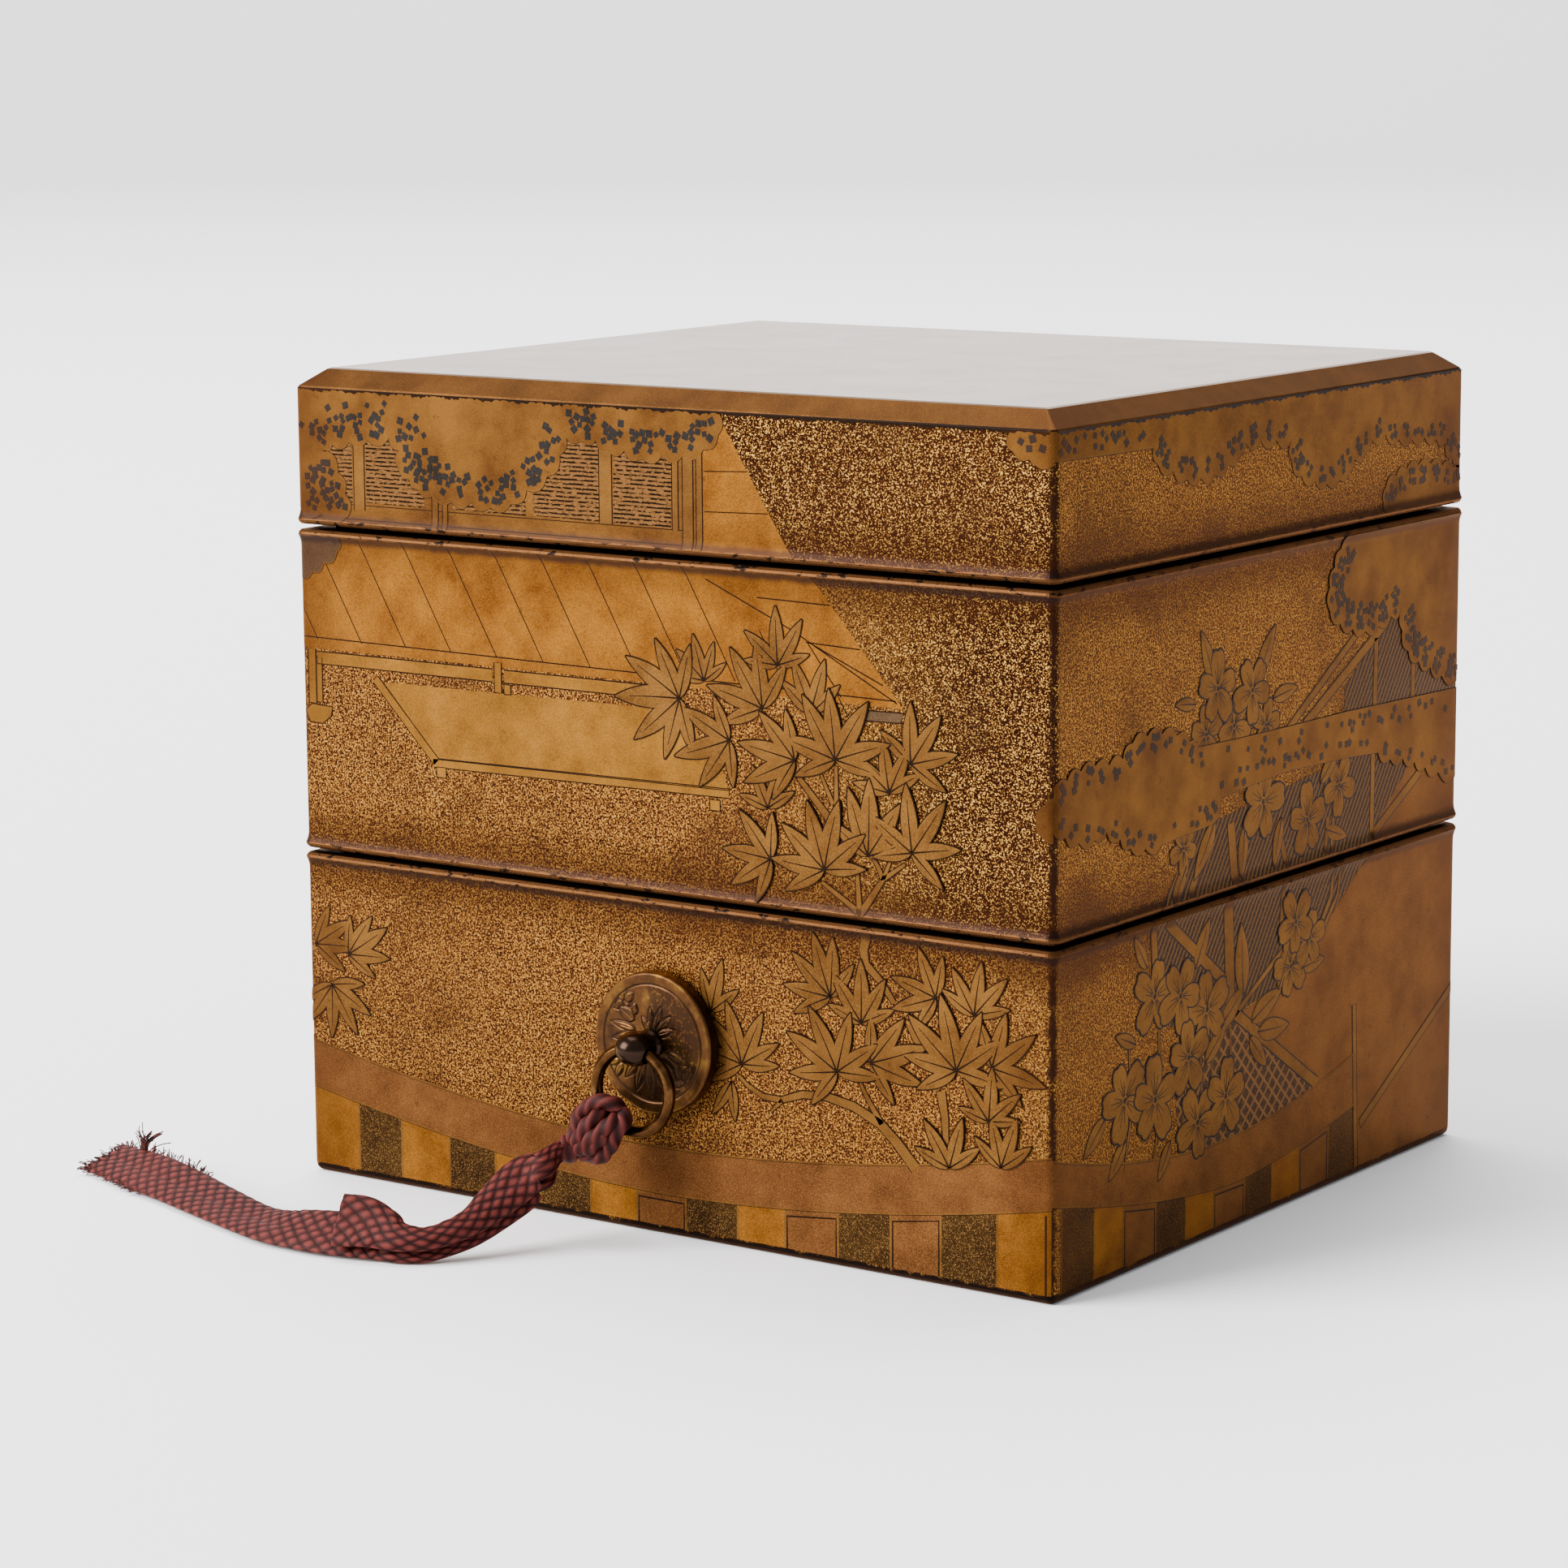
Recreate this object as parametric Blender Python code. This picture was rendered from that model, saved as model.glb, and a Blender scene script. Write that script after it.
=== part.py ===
"""Lacquer stacking food box: two trays and a lid, with a ring fitting and a silk cord.

Metres, +Z up. The origin is on the table, under the middle of the box. The fitting is on the
face that looks along -Y. Each piece is one named object with its own material.
"""

import math

import bmesh
import bpy
from mathutils import Vector

# Box, outside
BOX_WIDTH = 0.1200
BOX_DEPTH = 0.1047
LOWER_HEIGHT = 0.0449
MIDDLE_HEIGHT = 0.04415
LID_HEIGHT = 0.0212
CORNER_RADIUS = 0.0010
BASE_EDGE_RADIUS = 0.0011

# Walls, floors and the lips that hold the stack in line
WALL_THICKNESS = 0.0045
INNER_CORNER_RADIUS = 0.0020
FLOOR_THICKNESS = 0.0035
LID_TOP_THICKNESS = 0.0040
LIP_THICKNESS = 0.0015
LIP_HEIGHT = 0.0040
LIP_EDGE = 0.0003
REST_GAP = 0.0003

# Chamfer round the lid's top
CHAMFER_INSET = 0.00325
CHAMFER_HEIGHT = 0.0024
CHAMFER_EDGE = 0.0002

# Rims, where a bead stands out beside each joint and a notch runs in to it
BEAD_STANDOUT = 0.0004
BEAD_TIP_HEIGHT = 0.00098
BEAD_THICKNESS = 0.0006
BEAD_FULLNESS = 0.75
FLARE_HEIGHT = 0.0016
LID_NOTCH_DEPTH = 0.0017
TIER_NOTCH_DEPTH = 0.0008

# Round plate on the front of the lower tray
PLATE_DIAMETER = 0.0186
PLATE_THICKNESS = 0.0023
PLATE_CENTRE_HEIGHT = 0.0260
PLATE_CENTRE_SIDE = 0.0004
PLATE_EDGE_RADIUS = 0.0004
PLATE_BAND_WIDTH = 0.00155
PLATE_LINE_DEPTH = 0.00015
PLATE_DOME = 0.0003
PLATE_DOME_SHARES = (0.85, 0.6, 0.35)

# Pierced stud
SHANK_DIAMETER = 0.0022
SHANK_IN_WALL = 0.0022
COLLAR_DIAMETER = 0.0040
COLLAR_THICKNESS = 0.0005
HEAD_WIDTH = 0.0053
HEAD_HEIGHT = 0.0046
HEAD_STANDOUT = 0.0057
HEAD_BACK_DEGREES = 48
HEAD_STEPS = 8

# Ring that hangs in the stud's eye
RING_RADIUS = 0.0055
RING_WIRE_DIAMETER = 0.0016
RING_SIDE = -0.0003
RING_STANDOUT = 0.0003
RING_TURN_DEGREES = 5
EYE_CLEARANCE = 0.0005

# Silk cord: a flat braid, knotted on the ring, with two ends
BRAID_WIDTH = 0.0075
BRAID_THICKNESS = 0.00125
BRAID_POINT_SPACING = 0.0028
STRAND_DIAMETER = 0.0022
STRAND_CLEARANCE = 0.0003
NECK_DIAMETER = 0.0038
KNOT_CELL = 0.00042
KNOT_KEPT_SHARE = 0.38

# Fineness of round forms
CORNER_STEPS = 5
ARC_STEPS = 4
PLATE_STEPS = 48
STUD_STEPS = 28
RING_STEPS = 40
WIRE_STEPS = 10
STRAND_SIDES = 8
CURVE_STEPS = 12
SMOOTH_WALL_DEGREES = 30
SMOOTH_ROUND_DEGREES = 60

# Names of the pieces
LID = "lid"
MIDDLE_TIER = "middle_tier"
LOWER_TIER = "lower_tier"
PLATE = "fitting_plate"
STUD = "ring_stud"
RING = "pull_ring"
KNOT = "cord_knot"
LONG_TAIL = "cord_long_tail"
SHORT_TAIL = "cord_short_tail"

# Strands of the knot, from the neck round the ring and back, in metres
KNOT_STRANDS = (
    (
        (-0.0077, -0.0617, 0.0131),
        (-0.0069, -0.0616, 0.0145),
        (-0.0066, -0.0614, 0.0159),
        (-0.0062, -0.0612, 0.0173),
        (-0.0049, -0.0612, 0.0183),
        (-0.0034, -0.0612, 0.0191),
        (-0.0020, -0.0610, 0.0192),
        (-0.0012, -0.0604, 0.0188),
        (-0.0007, -0.0600, 0.0181),
        (-0.0000, -0.0602, 0.0174),
        (0.0001, -0.0606, 0.0165),
        (-0.0005, -0.0610, 0.0156),
        (-0.0011, -0.0612, 0.0146),
        (-0.0018, -0.0611, 0.0132),
        (-0.0032, -0.0610, 0.0119),
        (-0.0045, -0.0609, 0.0117),
        (-0.0058, -0.0610, 0.0118),
        (-0.0068, -0.0613, 0.0119),
    ),
    (
        (-0.0067, -0.0619, 0.0129),
        (-0.0054, -0.0623, 0.0146),
        (-0.0044, -0.0622, 0.0160),
        (-0.0034, -0.0616, 0.0172),
        (-0.0034, -0.0600, 0.0178),
        (-0.0048, -0.0582, 0.0177),
        (-0.0068, -0.0568, 0.0175),
        (-0.0085, -0.0566, 0.0169),
        (-0.0089, -0.0576, 0.0161),
        (-0.0081, -0.0594, 0.0155),
        (-0.0073, -0.0606, 0.0144),
    ),
    (
        (-0.0064, -0.0619, 0.0122),
        (-0.0046, -0.0623, 0.0137),
        (-0.0026, -0.0623, 0.0152),
        (-0.0012, -0.0616, 0.0165),
        (-0.0008, -0.0602, 0.0173),
        (-0.0015, -0.0584, 0.0169),
        (-0.0026, -0.0570, 0.0156),
        (-0.0037, -0.0568, 0.0141),
        (-0.0041, -0.0576, 0.0130),
        (-0.0038, -0.0592, 0.0122),
        (-0.0045, -0.0604, 0.0117),
        (-0.0057, -0.0610, 0.0118),
    ),
    (
        (-0.0051, -0.0617, 0.0124),
        (-0.0035, -0.0621, 0.0137),
        (-0.0023, -0.0620, 0.0148),
        (-0.0018, -0.0617, 0.0158),
    ),
)

# The bound neck, between the knot and the two ends
NECK_POINTS = (
    (-0.0076, -0.0606, 0.0128),
    (-0.0086, -0.0616, 0.0119),
    (-0.0092, -0.0624, 0.0111),
)

# Lower edge of the long end: x, y, z in metres, lean from level in degrees, share of the width
LONG_TAIL_STATIONS = (
    (-0.0074, -0.0634, 0.0094, 32, 0.58),
    (-0.0076, -0.0645, 0.0081, 35, 0.66),
    (-0.0080, -0.0657, 0.0070, 38, 0.74),
    (-0.0091, -0.0680, 0.0052, 40, 0.80),
    (-0.0110, -0.0716, 0.0031, 40, 0.66),
    (-0.0125, -0.0746, 0.0017, 40, 0.50),
    (-0.0139, -0.0774, 0.0009, 40, 0.44),
    (-0.0156, -0.0799, 0.0003, 38, 0.43),
    (-0.0172, -0.0816, 0.0001, 37, 0.48),
    (-0.0195, -0.0830, 0.0001, 36, 0.62),
    (-0.0219, -0.0837, 0.0001, 35, 0.82),
    (-0.0246, -0.0844, 0.0001, 33, 0.95),
    (-0.0275, -0.0852, 0.0001, 31, 1.00),
    (-0.0319, -0.0859, 0.0001, 30, 1.00),
    (-0.0366, -0.0860, 0.0001, 25, 1.00),
    (-0.0408, -0.0857, 0.0001, 19, 1.00),
    (-0.0477, -0.0838, 0.0001, 11, 1.00),
    (-0.0569, -0.0808, 0.0001, 15, 1.00),
    (-0.0645, -0.0782, 0.0001, 20, 1.00),
    (-0.0711, -0.0762, 0.0001, 24, 1.00),
    (-0.0770, -0.0742, 0.0001, 22, 1.00),
    (-0.0842, -0.0718, 0.0001, 18, 0.95),
)

# Lower edge of the short end, which lies on the long one and curls up at its cut
SHORT_TAIL_STATIONS = (
    (-0.0072, -0.0638, 0.0112, 32, 0.55),
    (-0.0074, -0.0648, 0.0100, 35, 0.66),
    (-0.0078, -0.0660, 0.0088, 38, 0.74),
    (-0.0088, -0.0683, 0.0070, 40, 0.80),
    (-0.0107, -0.0718, 0.0049, 40, 0.66),
    (-0.0122, -0.0748, 0.0035, 40, 0.50),
    (-0.0136, -0.0777, 0.0027, 40, 0.44),
    (-0.0153, -0.0803, 0.0021, 38, 0.43),
    (-0.0170, -0.0820, 0.0019, 37, 0.48),
    (-0.0194, -0.0835, 0.0018, 37, 0.62),
    (-0.0219, -0.0843, 0.0018, 39, 0.84),
    (-0.0246, -0.0850, 0.0017, 44, 1.00),
    (-0.0276, -0.0858, 0.0016, 48, 1.00),
)

LACQUER = ((0.30, 0.15, 0.045), 0.32, 0.55)
PLATE_METAL = ((0.42, 0.24, 0.07), 0.38, 1.0)
STUD_METAL = ((0.07, 0.035, 0.02), 0.22, 1.0)
RING_METAL = ((0.45, 0.28, 0.10), 0.30, 1.0)
SILK = ((0.17, 0.035, 0.035), 0.75, 0.0)

FRONT_Y = -BOX_DEPTH / 2
LOWER_JOINT = LOWER_HEIGHT
LID_JOINT = LOWER_HEIGHT + MIDDLE_HEIGHT
BOX_TOP = LID_JOINT + LID_HEIGHT
HALF_GAP = REST_GAP / 2


def clear_scene():
    for old in list(bpy.data.objects):
        bpy.data.objects.remove(old)


def make_material(name, finish):
    colour, roughness, metallic = finish
    material = bpy.data.materials.new(name)
    material.use_nodes = True
    shader = material.node_tree.nodes["Principled BSDF"]
    shader.inputs["Base Color"].default_value = (*colour, 1.0)
    shader.inputs["Roughness"].default_value = roughness
    shader.inputs["Metallic"].default_value = metallic
    return material


def add_object(name, data, finish):
    piece = bpy.data.objects.new(name, data)
    bpy.context.scene.collection.objects.link(piece)
    data.materials.append(make_material(name, finish))
    return piece


def mesh_object(name, form, finish, smooth_degrees):
    """Turn a bmesh into a named object, shaded smooth except at its sharp edges."""
    bmesh.ops.recalc_face_normals(form, faces=form.faces)
    mesh = bpy.data.meshes.new(name)
    form.to_mesh(mesh)
    form.free()
    mesh.shade_smooth()
    mesh.set_sharp_from_angle(angle=math.radians(smooth_degrees))
    return add_object(name, mesh, finish)


def cutter_object(name, form):
    bmesh.ops.recalc_face_normals(form, faces=form.faces)
    mesh = bpy.data.meshes.new(name)
    form.to_mesh(mesh)
    form.free()
    cutter = bpy.data.objects.new(name, mesh)
    bpy.context.scene.collection.objects.link(cutter)
    cutter.hide_render = True
    cutter.display_type = "WIRE"
    return cutter


def cut(piece, cutter):
    boolean = piece.modifiers.new(cutter.name, "BOOLEAN")
    boolean.operation = "DIFFERENCE"
    boolean.solver = "EXACT"
    boolean.object = cutter


# Box walls

def rounded_rectangle(inset, corner_radius):
    """Points of the plan outline, set in from the outer walls by inset."""
    half_x = BOX_WIDTH / 2 - inset
    half_y = BOX_DEPTH / 2 - inset
    points = []
    for corner, (side_x, side_y) in enumerate(((1, 1), (-1, 1), (-1, -1), (1, -1))):
        centre_x = side_x * (half_x - corner_radius)
        centre_y = side_y * (half_y - corner_radius)
        for step in range(CORNER_STEPS + 1):
            angle = math.radians(90 * (corner + step / CORNER_STEPS))
            points.append(
                (centre_x + corner_radius * math.cos(angle), centre_y + corner_radius * math.sin(angle))
            )
    return points


def outer_corner(inset):
    """Corner radius that keeps the walls parallel, and stays a little round in a notch."""
    return max(CORNER_RADIUS - inset, CORNER_RADIUS / 4)


def loft_box(name, sections):
    """Skin closed sections of (inset, corner radius, height), with a flat face at each end."""
    form = bmesh.new()
    rings = []
    for inset, corner_radius, height in sections:
        outline = rounded_rectangle(inset, corner_radius)
        rings.append([form.verts.new((x, y, height)) for x, y in outline])
    for lower, upper in zip(rings, rings[1:]):
        for i in range(len(lower)):
            j = (i + 1) % len(lower)
            form.faces.new((lower[i], lower[j], upper[j], upper[i]))
    form.faces.new(rings[0])
    form.faces.new(rings[-1])
    return mesh_object(name, form, LACQUER, SMOOTH_WALL_DEGREES)


def rim_profile(joint, side, notch_depth):
    """Outer wall from above the flare to the notch's bottom. side is 1 above a joint, -1 below."""
    flare_start = BEAD_TIP_HEIGHT + FLARE_HEIGHT
    points = []
    for step in range(ARC_STEPS + 1):
        share = step / ARC_STEPS
        points.append((-BEAD_STANDOUT * share**2, flare_start - FLARE_HEIGHT * share))
    points.append((-BEAD_STANDOUT * BEAD_FULLNESS, BEAD_TIP_HEIGHT - BEAD_THICKNESS / 2))
    points.append((0.0, BEAD_TIP_HEIGHT - BEAD_THICKNESS))
    points.append((notch_depth, HALF_GAP))
    return [(inset, outer_corner(inset), joint + side * rise) for inset, rise in points]


def lip_sections(joint):
    """Standing lip at a tray's mouth, from the joint up and over to its inner side."""
    outer = WALL_THICKNESS - LIP_THICKNESS
    top = joint + LIP_HEIGHT
    return [
        (outer, INNER_CORNER_RADIUS, joint - HALF_GAP),
        (outer, INNER_CORNER_RADIUS, top - LIP_EDGE),
        (outer + LIP_EDGE, INNER_CORNER_RADIUS, top),
        (WALL_THICKNESS - LIP_EDGE, INNER_CORNER_RADIUS, top),
        (WALL_THICKNESS, INNER_CORNER_RADIUS, top - LIP_EDGE),
    ]


def rebate_sections(joint):
    """Step inside a lower edge that fits over the lip below, from its ceiling to the joint."""
    inset = WALL_THICKNESS - LIP_THICKNESS - REST_GAP
    return [
        (inset, INNER_CORNER_RADIUS, joint + LIP_HEIGHT + REST_GAP),
        (inset, INNER_CORNER_RADIUS, joint + HALF_GAP),
    ]


def build_lower_tier():
    sections = []
    for step in range(ARC_STEPS + 1):
        angle = math.radians(90 * step / ARC_STEPS)
        inset = BASE_EDGE_RADIUS * (1 - math.sin(angle))
        height = BASE_EDGE_RADIUS * (1 - math.cos(angle))
        sections.append((inset, outer_corner(inset), height))
    sections += rim_profile(LOWER_JOINT, -1, TIER_NOTCH_DEPTH)
    sections += lip_sections(LOWER_JOINT)
    sections.append((WALL_THICKNESS, INNER_CORNER_RADIUS, FLOOR_THICKNESS))
    tier = loft_box(LOWER_TIER, sections)
    hole_radius = SHANK_DIAMETER / 2 + REST_GAP
    depth = SHANK_IN_WALL + REST_GAP
    hole = turned_form([(0, depth), (hole_radius, depth), (hole_radius, -depth), (0, -depth)], STUD_STEPS)
    place_on_front(hole)
    cut(tier, cutter_object("shank_hole", hole))
    return tier


def build_middle_tier():
    sections = rebate_sections(LOWER_JOINT)
    sections += reversed(rim_profile(LOWER_JOINT, 1, TIER_NOTCH_DEPTH))
    sections += rim_profile(LID_JOINT, -1, LID_NOTCH_DEPTH)
    sections += lip_sections(LID_JOINT)
    floor_top = LOWER_JOINT + LIP_HEIGHT + REST_GAP + FLOOR_THICKNESS
    sections.append((WALL_THICKNESS, INNER_CORNER_RADIUS, floor_top))
    return loft_box(MIDDLE_TIER, sections)


def build_lid():
    step_height = LID_JOINT + LIP_HEIGHT + REST_GAP
    sections = [
        (WALL_THICKNESS, INNER_CORNER_RADIUS, BOX_TOP - LID_TOP_THICKNESS),
        (WALL_THICKNESS, INNER_CORNER_RADIUS, step_height),
    ]
    sections += rebate_sections(LID_JOINT)
    sections += reversed(rim_profile(LID_JOINT, 1, LID_NOTCH_DEPTH))
    shoulder = BOX_TOP - CHAMFER_HEIGHT
    slope = CHAMFER_HEIGHT / CHAMFER_INSET
    for inset, height in (
        (0.0, shoulder - CHAMFER_EDGE),
        (CHAMFER_EDGE, shoulder + CHAMFER_EDGE * slope),
        (CHAMFER_INSET - CHAMFER_EDGE, BOX_TOP - CHAMFER_EDGE * slope),
        (CHAMFER_INSET + CHAMFER_EDGE, BOX_TOP),
    ):
        sections.append((inset, outer_corner(inset), height))
    return loft_box(LID, sections)


# Ring fitting

def turned_form(profile, steps):
    """Turn (radius, standout) points about the Y axis; standout grows towards -Y."""
    form = bmesh.new()
    rings = []
    for radius, standout in profile:
        if radius == 0:
            rings.append([form.verts.new((0, -standout, 0))])
            continue
        ring = []
        for step in range(steps):
            angle = math.tau * step / steps
            ring.append(form.verts.new((radius * math.cos(angle), -standout, radius * math.sin(angle))))
        rings.append(ring)
    for first, second in zip(rings, rings[1:]):
        for i in range(steps):
            j = (i + 1) % steps
            corners = [first[i % len(first)], first[j % len(first)]]
            corners += [second[j % len(second)], second[i % len(second)]]
            form.faces.new(list(dict.fromkeys(corners)))
    if len(rings[0]) > 1:
        for i in range(steps):
            j = (i + 1) % steps
            form.faces.new((rings[-1][i], rings[-1][j], rings[0][j], rings[0][i]))
    return form


def place_on_front(form):
    """Move a turned form to the plate's middle, with its zero on the front wall."""
    bmesh.ops.translate(form, verts=form.verts, vec=(PLATE_CENTRE_SIDE, FRONT_Y, PLATE_CENTRE_HEIGHT))


def build_plate():
    radius = PLATE_DIAMETER / 2
    hole_radius = SHANK_DIAMETER / 2 + REST_GAP
    band_inner = radius - PLATE_BAND_WIDTH
    back = REST_GAP
    front = PLATE_THICKNESS
    profile = [(hole_radius, back), (radius, back), (radius, front - PLATE_EDGE_RADIUS)]
    for step in range(1, ARC_STEPS + 1):
        angle = math.radians(90 * step / ARC_STEPS)
        profile.append(
            (
                radius - PLATE_EDGE_RADIUS * (1 - math.cos(angle)),
                front - PLATE_EDGE_RADIUS * (1 - math.sin(angle)),
            )
        )
    profile.append((band_inner, front))
    profile.append((band_inner - PLATE_LINE_DEPTH, front - PLATE_LINE_DEPTH))
    for share in PLATE_DOME_SHARES:
        profile.append((band_inner * share, front + PLATE_DOME * (1 - share**2)))
    profile.append((hole_radius, front + PLATE_DOME))
    form = turned_form(profile, PLATE_STEPS)
    place_on_front(form)
    return mesh_object(PLATE, form, PLATE_METAL, SMOOTH_WALL_DEGREES)


def build_stud():
    shank = SHANK_DIAMETER / 2
    collar_back = PLATE_THICKNESS + PLATE_DOME + REST_GAP
    collar_front = collar_back + COLLAR_THICKNESS
    collar = COLLAR_DIAMETER / 2
    head_depth = HEAD_STANDOUT / 2
    head_middle = collar_back + head_depth
    profile = [(0, -SHANK_IN_WALL), (shank, -SHANK_IN_WALL), (shank, collar_back), (collar, collar_back)]
    for step in range(HEAD_STEPS):
        angle = math.radians(-HEAD_BACK_DEGREES + (90 + HEAD_BACK_DEGREES) * step / HEAD_STEPS)
        standout = head_middle + head_depth * math.sin(angle)
        if standout > collar_front:
            profile.append((HEAD_WIDTH / 2 * math.cos(angle), standout))
    profile.append((0, collar_back + HEAD_STANDOUT))
    form = turned_form(profile, STUD_STEPS)
    flattening = HEAD_HEIGHT / HEAD_WIDTH
    for vert in form.verts:
        if -vert.co.y > collar_back - REST_GAP / 2:
            vert.co.z *= flattening
    place_on_front(form)
    stud = mesh_object(STUD, form, STUD_METAL, SMOOTH_WALL_DEGREES)
    eye = torus_form(RING_WIRE_DIAMETER / 2 + EYE_CLEARANCE)
    cut(stud, cutter_object("eye_channel", eye))
    return stud


def ring_centre():
    """The ring hangs near the middle of the stud's head, a little to the cord's side."""
    standout = PLATE_THICKNESS + PLATE_DOME + REST_GAP + HEAD_STANDOUT / 2 + RING_STANDOUT
    side = PLATE_CENTRE_SIDE + RING_SIDE
    return Vector((side, FRONT_Y - standout, PLATE_CENTRE_HEIGHT - RING_RADIUS))


def torus_form(wire_radius):
    """A ring of round wire at the stud's eye, turned a little from the front's plane."""
    form = bmesh.new()
    turn = math.radians(RING_TURN_DEGREES)
    aside = Vector((math.cos(turn), math.sin(turn), 0))
    depth = Vector((-math.sin(turn), math.cos(turn), 0))
    loops = []
    for step in range(RING_STEPS):
        angle = math.tau * step / RING_STEPS
        outward = aside * math.cos(angle) + Vector((0, 0, math.sin(angle)))
        loop = []
        for side in range(WIRE_STEPS):
            around = math.tau * side / WIRE_STEPS
            reach = outward * (RING_RADIUS + wire_radius * math.cos(around))
            loop.append(form.verts.new(ring_centre() + reach + depth * (wire_radius * math.sin(around))))
        loops.append(loop)
    for i, loop in enumerate(loops):
        following = loops[(i + 1) % RING_STEPS]
        for j in range(WIRE_STEPS):
            k = (j + 1) % WIRE_STEPS
            form.faces.new((loop[j], loop[k], following[k], following[j]))
    return form


def build_ring():
    return mesh_object(RING, torus_form(RING_WIRE_DIAMETER / 2), RING_METAL, SMOOTH_ROUND_DEGREES)


# Cord

def smooth_between(values, spacing):
    """Points on a smooth curve through the given rows, evenly spaced by their first three numbers."""
    rows = [Vector(row) for row in values]
    fine = []
    for i in range(len(rows) - 1):
        before = rows[max(i - 1, 0)]
        after = rows[min(i + 2, len(rows) - 1)]
        for step in range(CURVE_STEPS):
            t = step / CURVE_STEPS
            fine.append(
                0.5
                * (
                    2 * rows[i]
                    + (rows[i + 1] - before) * t
                    + (2 * before - 5 * rows[i] + 4 * rows[i + 1] - after) * t**2
                    + (3 * rows[i] - before - 3 * rows[i + 1] + after) * t**3
                )
            )
    fine.append(rows[-1])
    lengths = [0.0]
    for first, second in zip(fine, fine[1:]):
        lengths.append(lengths[-1] + (Vector(second[:3]) - Vector(first[:3])).length)
    count = max(2, round(lengths[-1] / spacing))
    points = []
    index = 0
    for step in range(count + 1):
        target = lengths[-1] * step / count
        while index < len(fine) - 2 and lengths[index + 1] < target:
            index += 1
        span = lengths[index + 1] - lengths[index]
        points.append(fine[index].lerp(fine[index + 1], (target - lengths[index]) / span))
    return points


def build_tail(name, stations):
    """A flat strip along the middle of the braid, from its lower edge, lean and width."""
    rows = []
    for i, (x, y, z, lean, share) in enumerate(stations):
        before = Vector(stations[max(i - 1, 0)][:3])
        after = Vector(stations[min(i + 1, len(stations) - 1)][:3])
        along = (after - before).normalized()
        aside = Vector((along.y, -along.x, 0)).normalized()
        upward = aside.cross(along)
        lean = math.radians(lean)
        across = aside * math.cos(lean) + upward * math.sin(lean)
        edge = Vector((x, y, z))
        facing = upward * math.cos(lean) - aside * math.sin(lean)
        middle = edge + across * (BRAID_WIDTH * share / 2) + facing * (BRAID_THICKNESS * share / 2)
        rows.append((*middle, lean, share))
    curve = bpy.data.curves.new(name, "CURVE")
    curve.dimensions = "3D"
    curve.twist_mode = "Z_UP"
    curve.fill_mode = "FULL"
    curve.use_fill_caps = True
    curve.bevel_resolution = 2
    curve.bevel_depth = BRAID_THICKNESS / 2
    curve.extrude = (BRAID_WIDTH - BRAID_THICKNESS) / 2
    points = smooth_between(rows, BRAID_POINT_SPACING)
    spline = curve.splines.new("POLY")
    spline.points.add(len(points) - 1)
    for target, row in zip(spline.points, points):
        target.co = (*row[:3], 1)
        target.tilt = math.pi / 2 - row[3]
        target.radius = row[4]
    return add_object(name, curve, SILK)


def tube_form(form, points, radius):
    """Add a round tube with flat ends to the form, turned along the points without twist."""
    normal = None
    loops = []
    for i, point in enumerate(points):
        along = (points[min(i + 1, len(points) - 1)] - points[max(i - 1, 0)]).normalized()
        if normal is None:
            normal = along.orthogonal()
        normal = (normal - along * normal.dot(along)).normalized()
        other = along.cross(normal)
        loop = []
        for turn in range(STRAND_SIDES):
            angle = math.tau * turn / STRAND_SIDES
            offset = normal * (radius * math.cos(angle)) + other * (radius * math.sin(angle))
            loop.append(form.verts.new(point + offset))
        loops.append(loop)
    for first, second in zip(loops, loops[1:]):
        for j in range(STRAND_SIDES):
            k = (j + 1) % STRAND_SIDES
            form.faces.new((first[j], first[k], second[k], second[j]))
    form.faces.new(loops[0])
    form.faces.new(loops[-1])


def build_knot():
    form = bmesh.new()
    for strand in KNOT_STRANDS:
        tube_form(form, smooth_between(strand, STRAND_DIAMETER / 2), STRAND_DIAMETER / 2)
    tube_form(form, [Vector(point) for point in NECK_POINTS], NECK_DIAMETER / 2)
    knot = mesh_object(KNOT, form, SILK, SMOOTH_ROUND_DEGREES)
    remesh = knot.modifiers.new("one_body", "REMESH")
    remesh.mode = "VOXEL"
    remesh.voxel_size = KNOT_CELL
    fewer = knot.modifiers.new("fewer_faces", "DECIMATE")
    fewer.ratio = KNOT_KEPT_SHARE
    channel = torus_form(RING_WIRE_DIAMETER / 2 + STRAND_CLEARANCE)
    cut(knot, cutter_object("ring_channel", channel))
    return knot


def main():
    clear_scene()
    build_lower_tier()
    build_middle_tier()
    build_lid()
    build_plate()
    build_stud()
    build_ring()
    build_knot()
    build_tail(LONG_TAIL, LONG_TAIL_STATIONS)
    build_tail(SHORT_TAIL, SHORT_TAIL_STATIONS)


main()
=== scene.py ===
"""Dresses a lacquer stacking food box: painted walls, an engraved ring fitting and a silk cord.

Metres, +Z up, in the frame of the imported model. The front wall looks along -Y, and the origin is on
the table under the middle of the box.
"""

from __future__ import annotations

import logging
import math
from dataclasses import dataclass
from enum import Enum
from typing import Any, Callable, Sequence

import bmesh
import bpy
import numpy as np
from mathutils import Matrix, Vector
from mathutils.geometry import delaunay_2d_cdt


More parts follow.
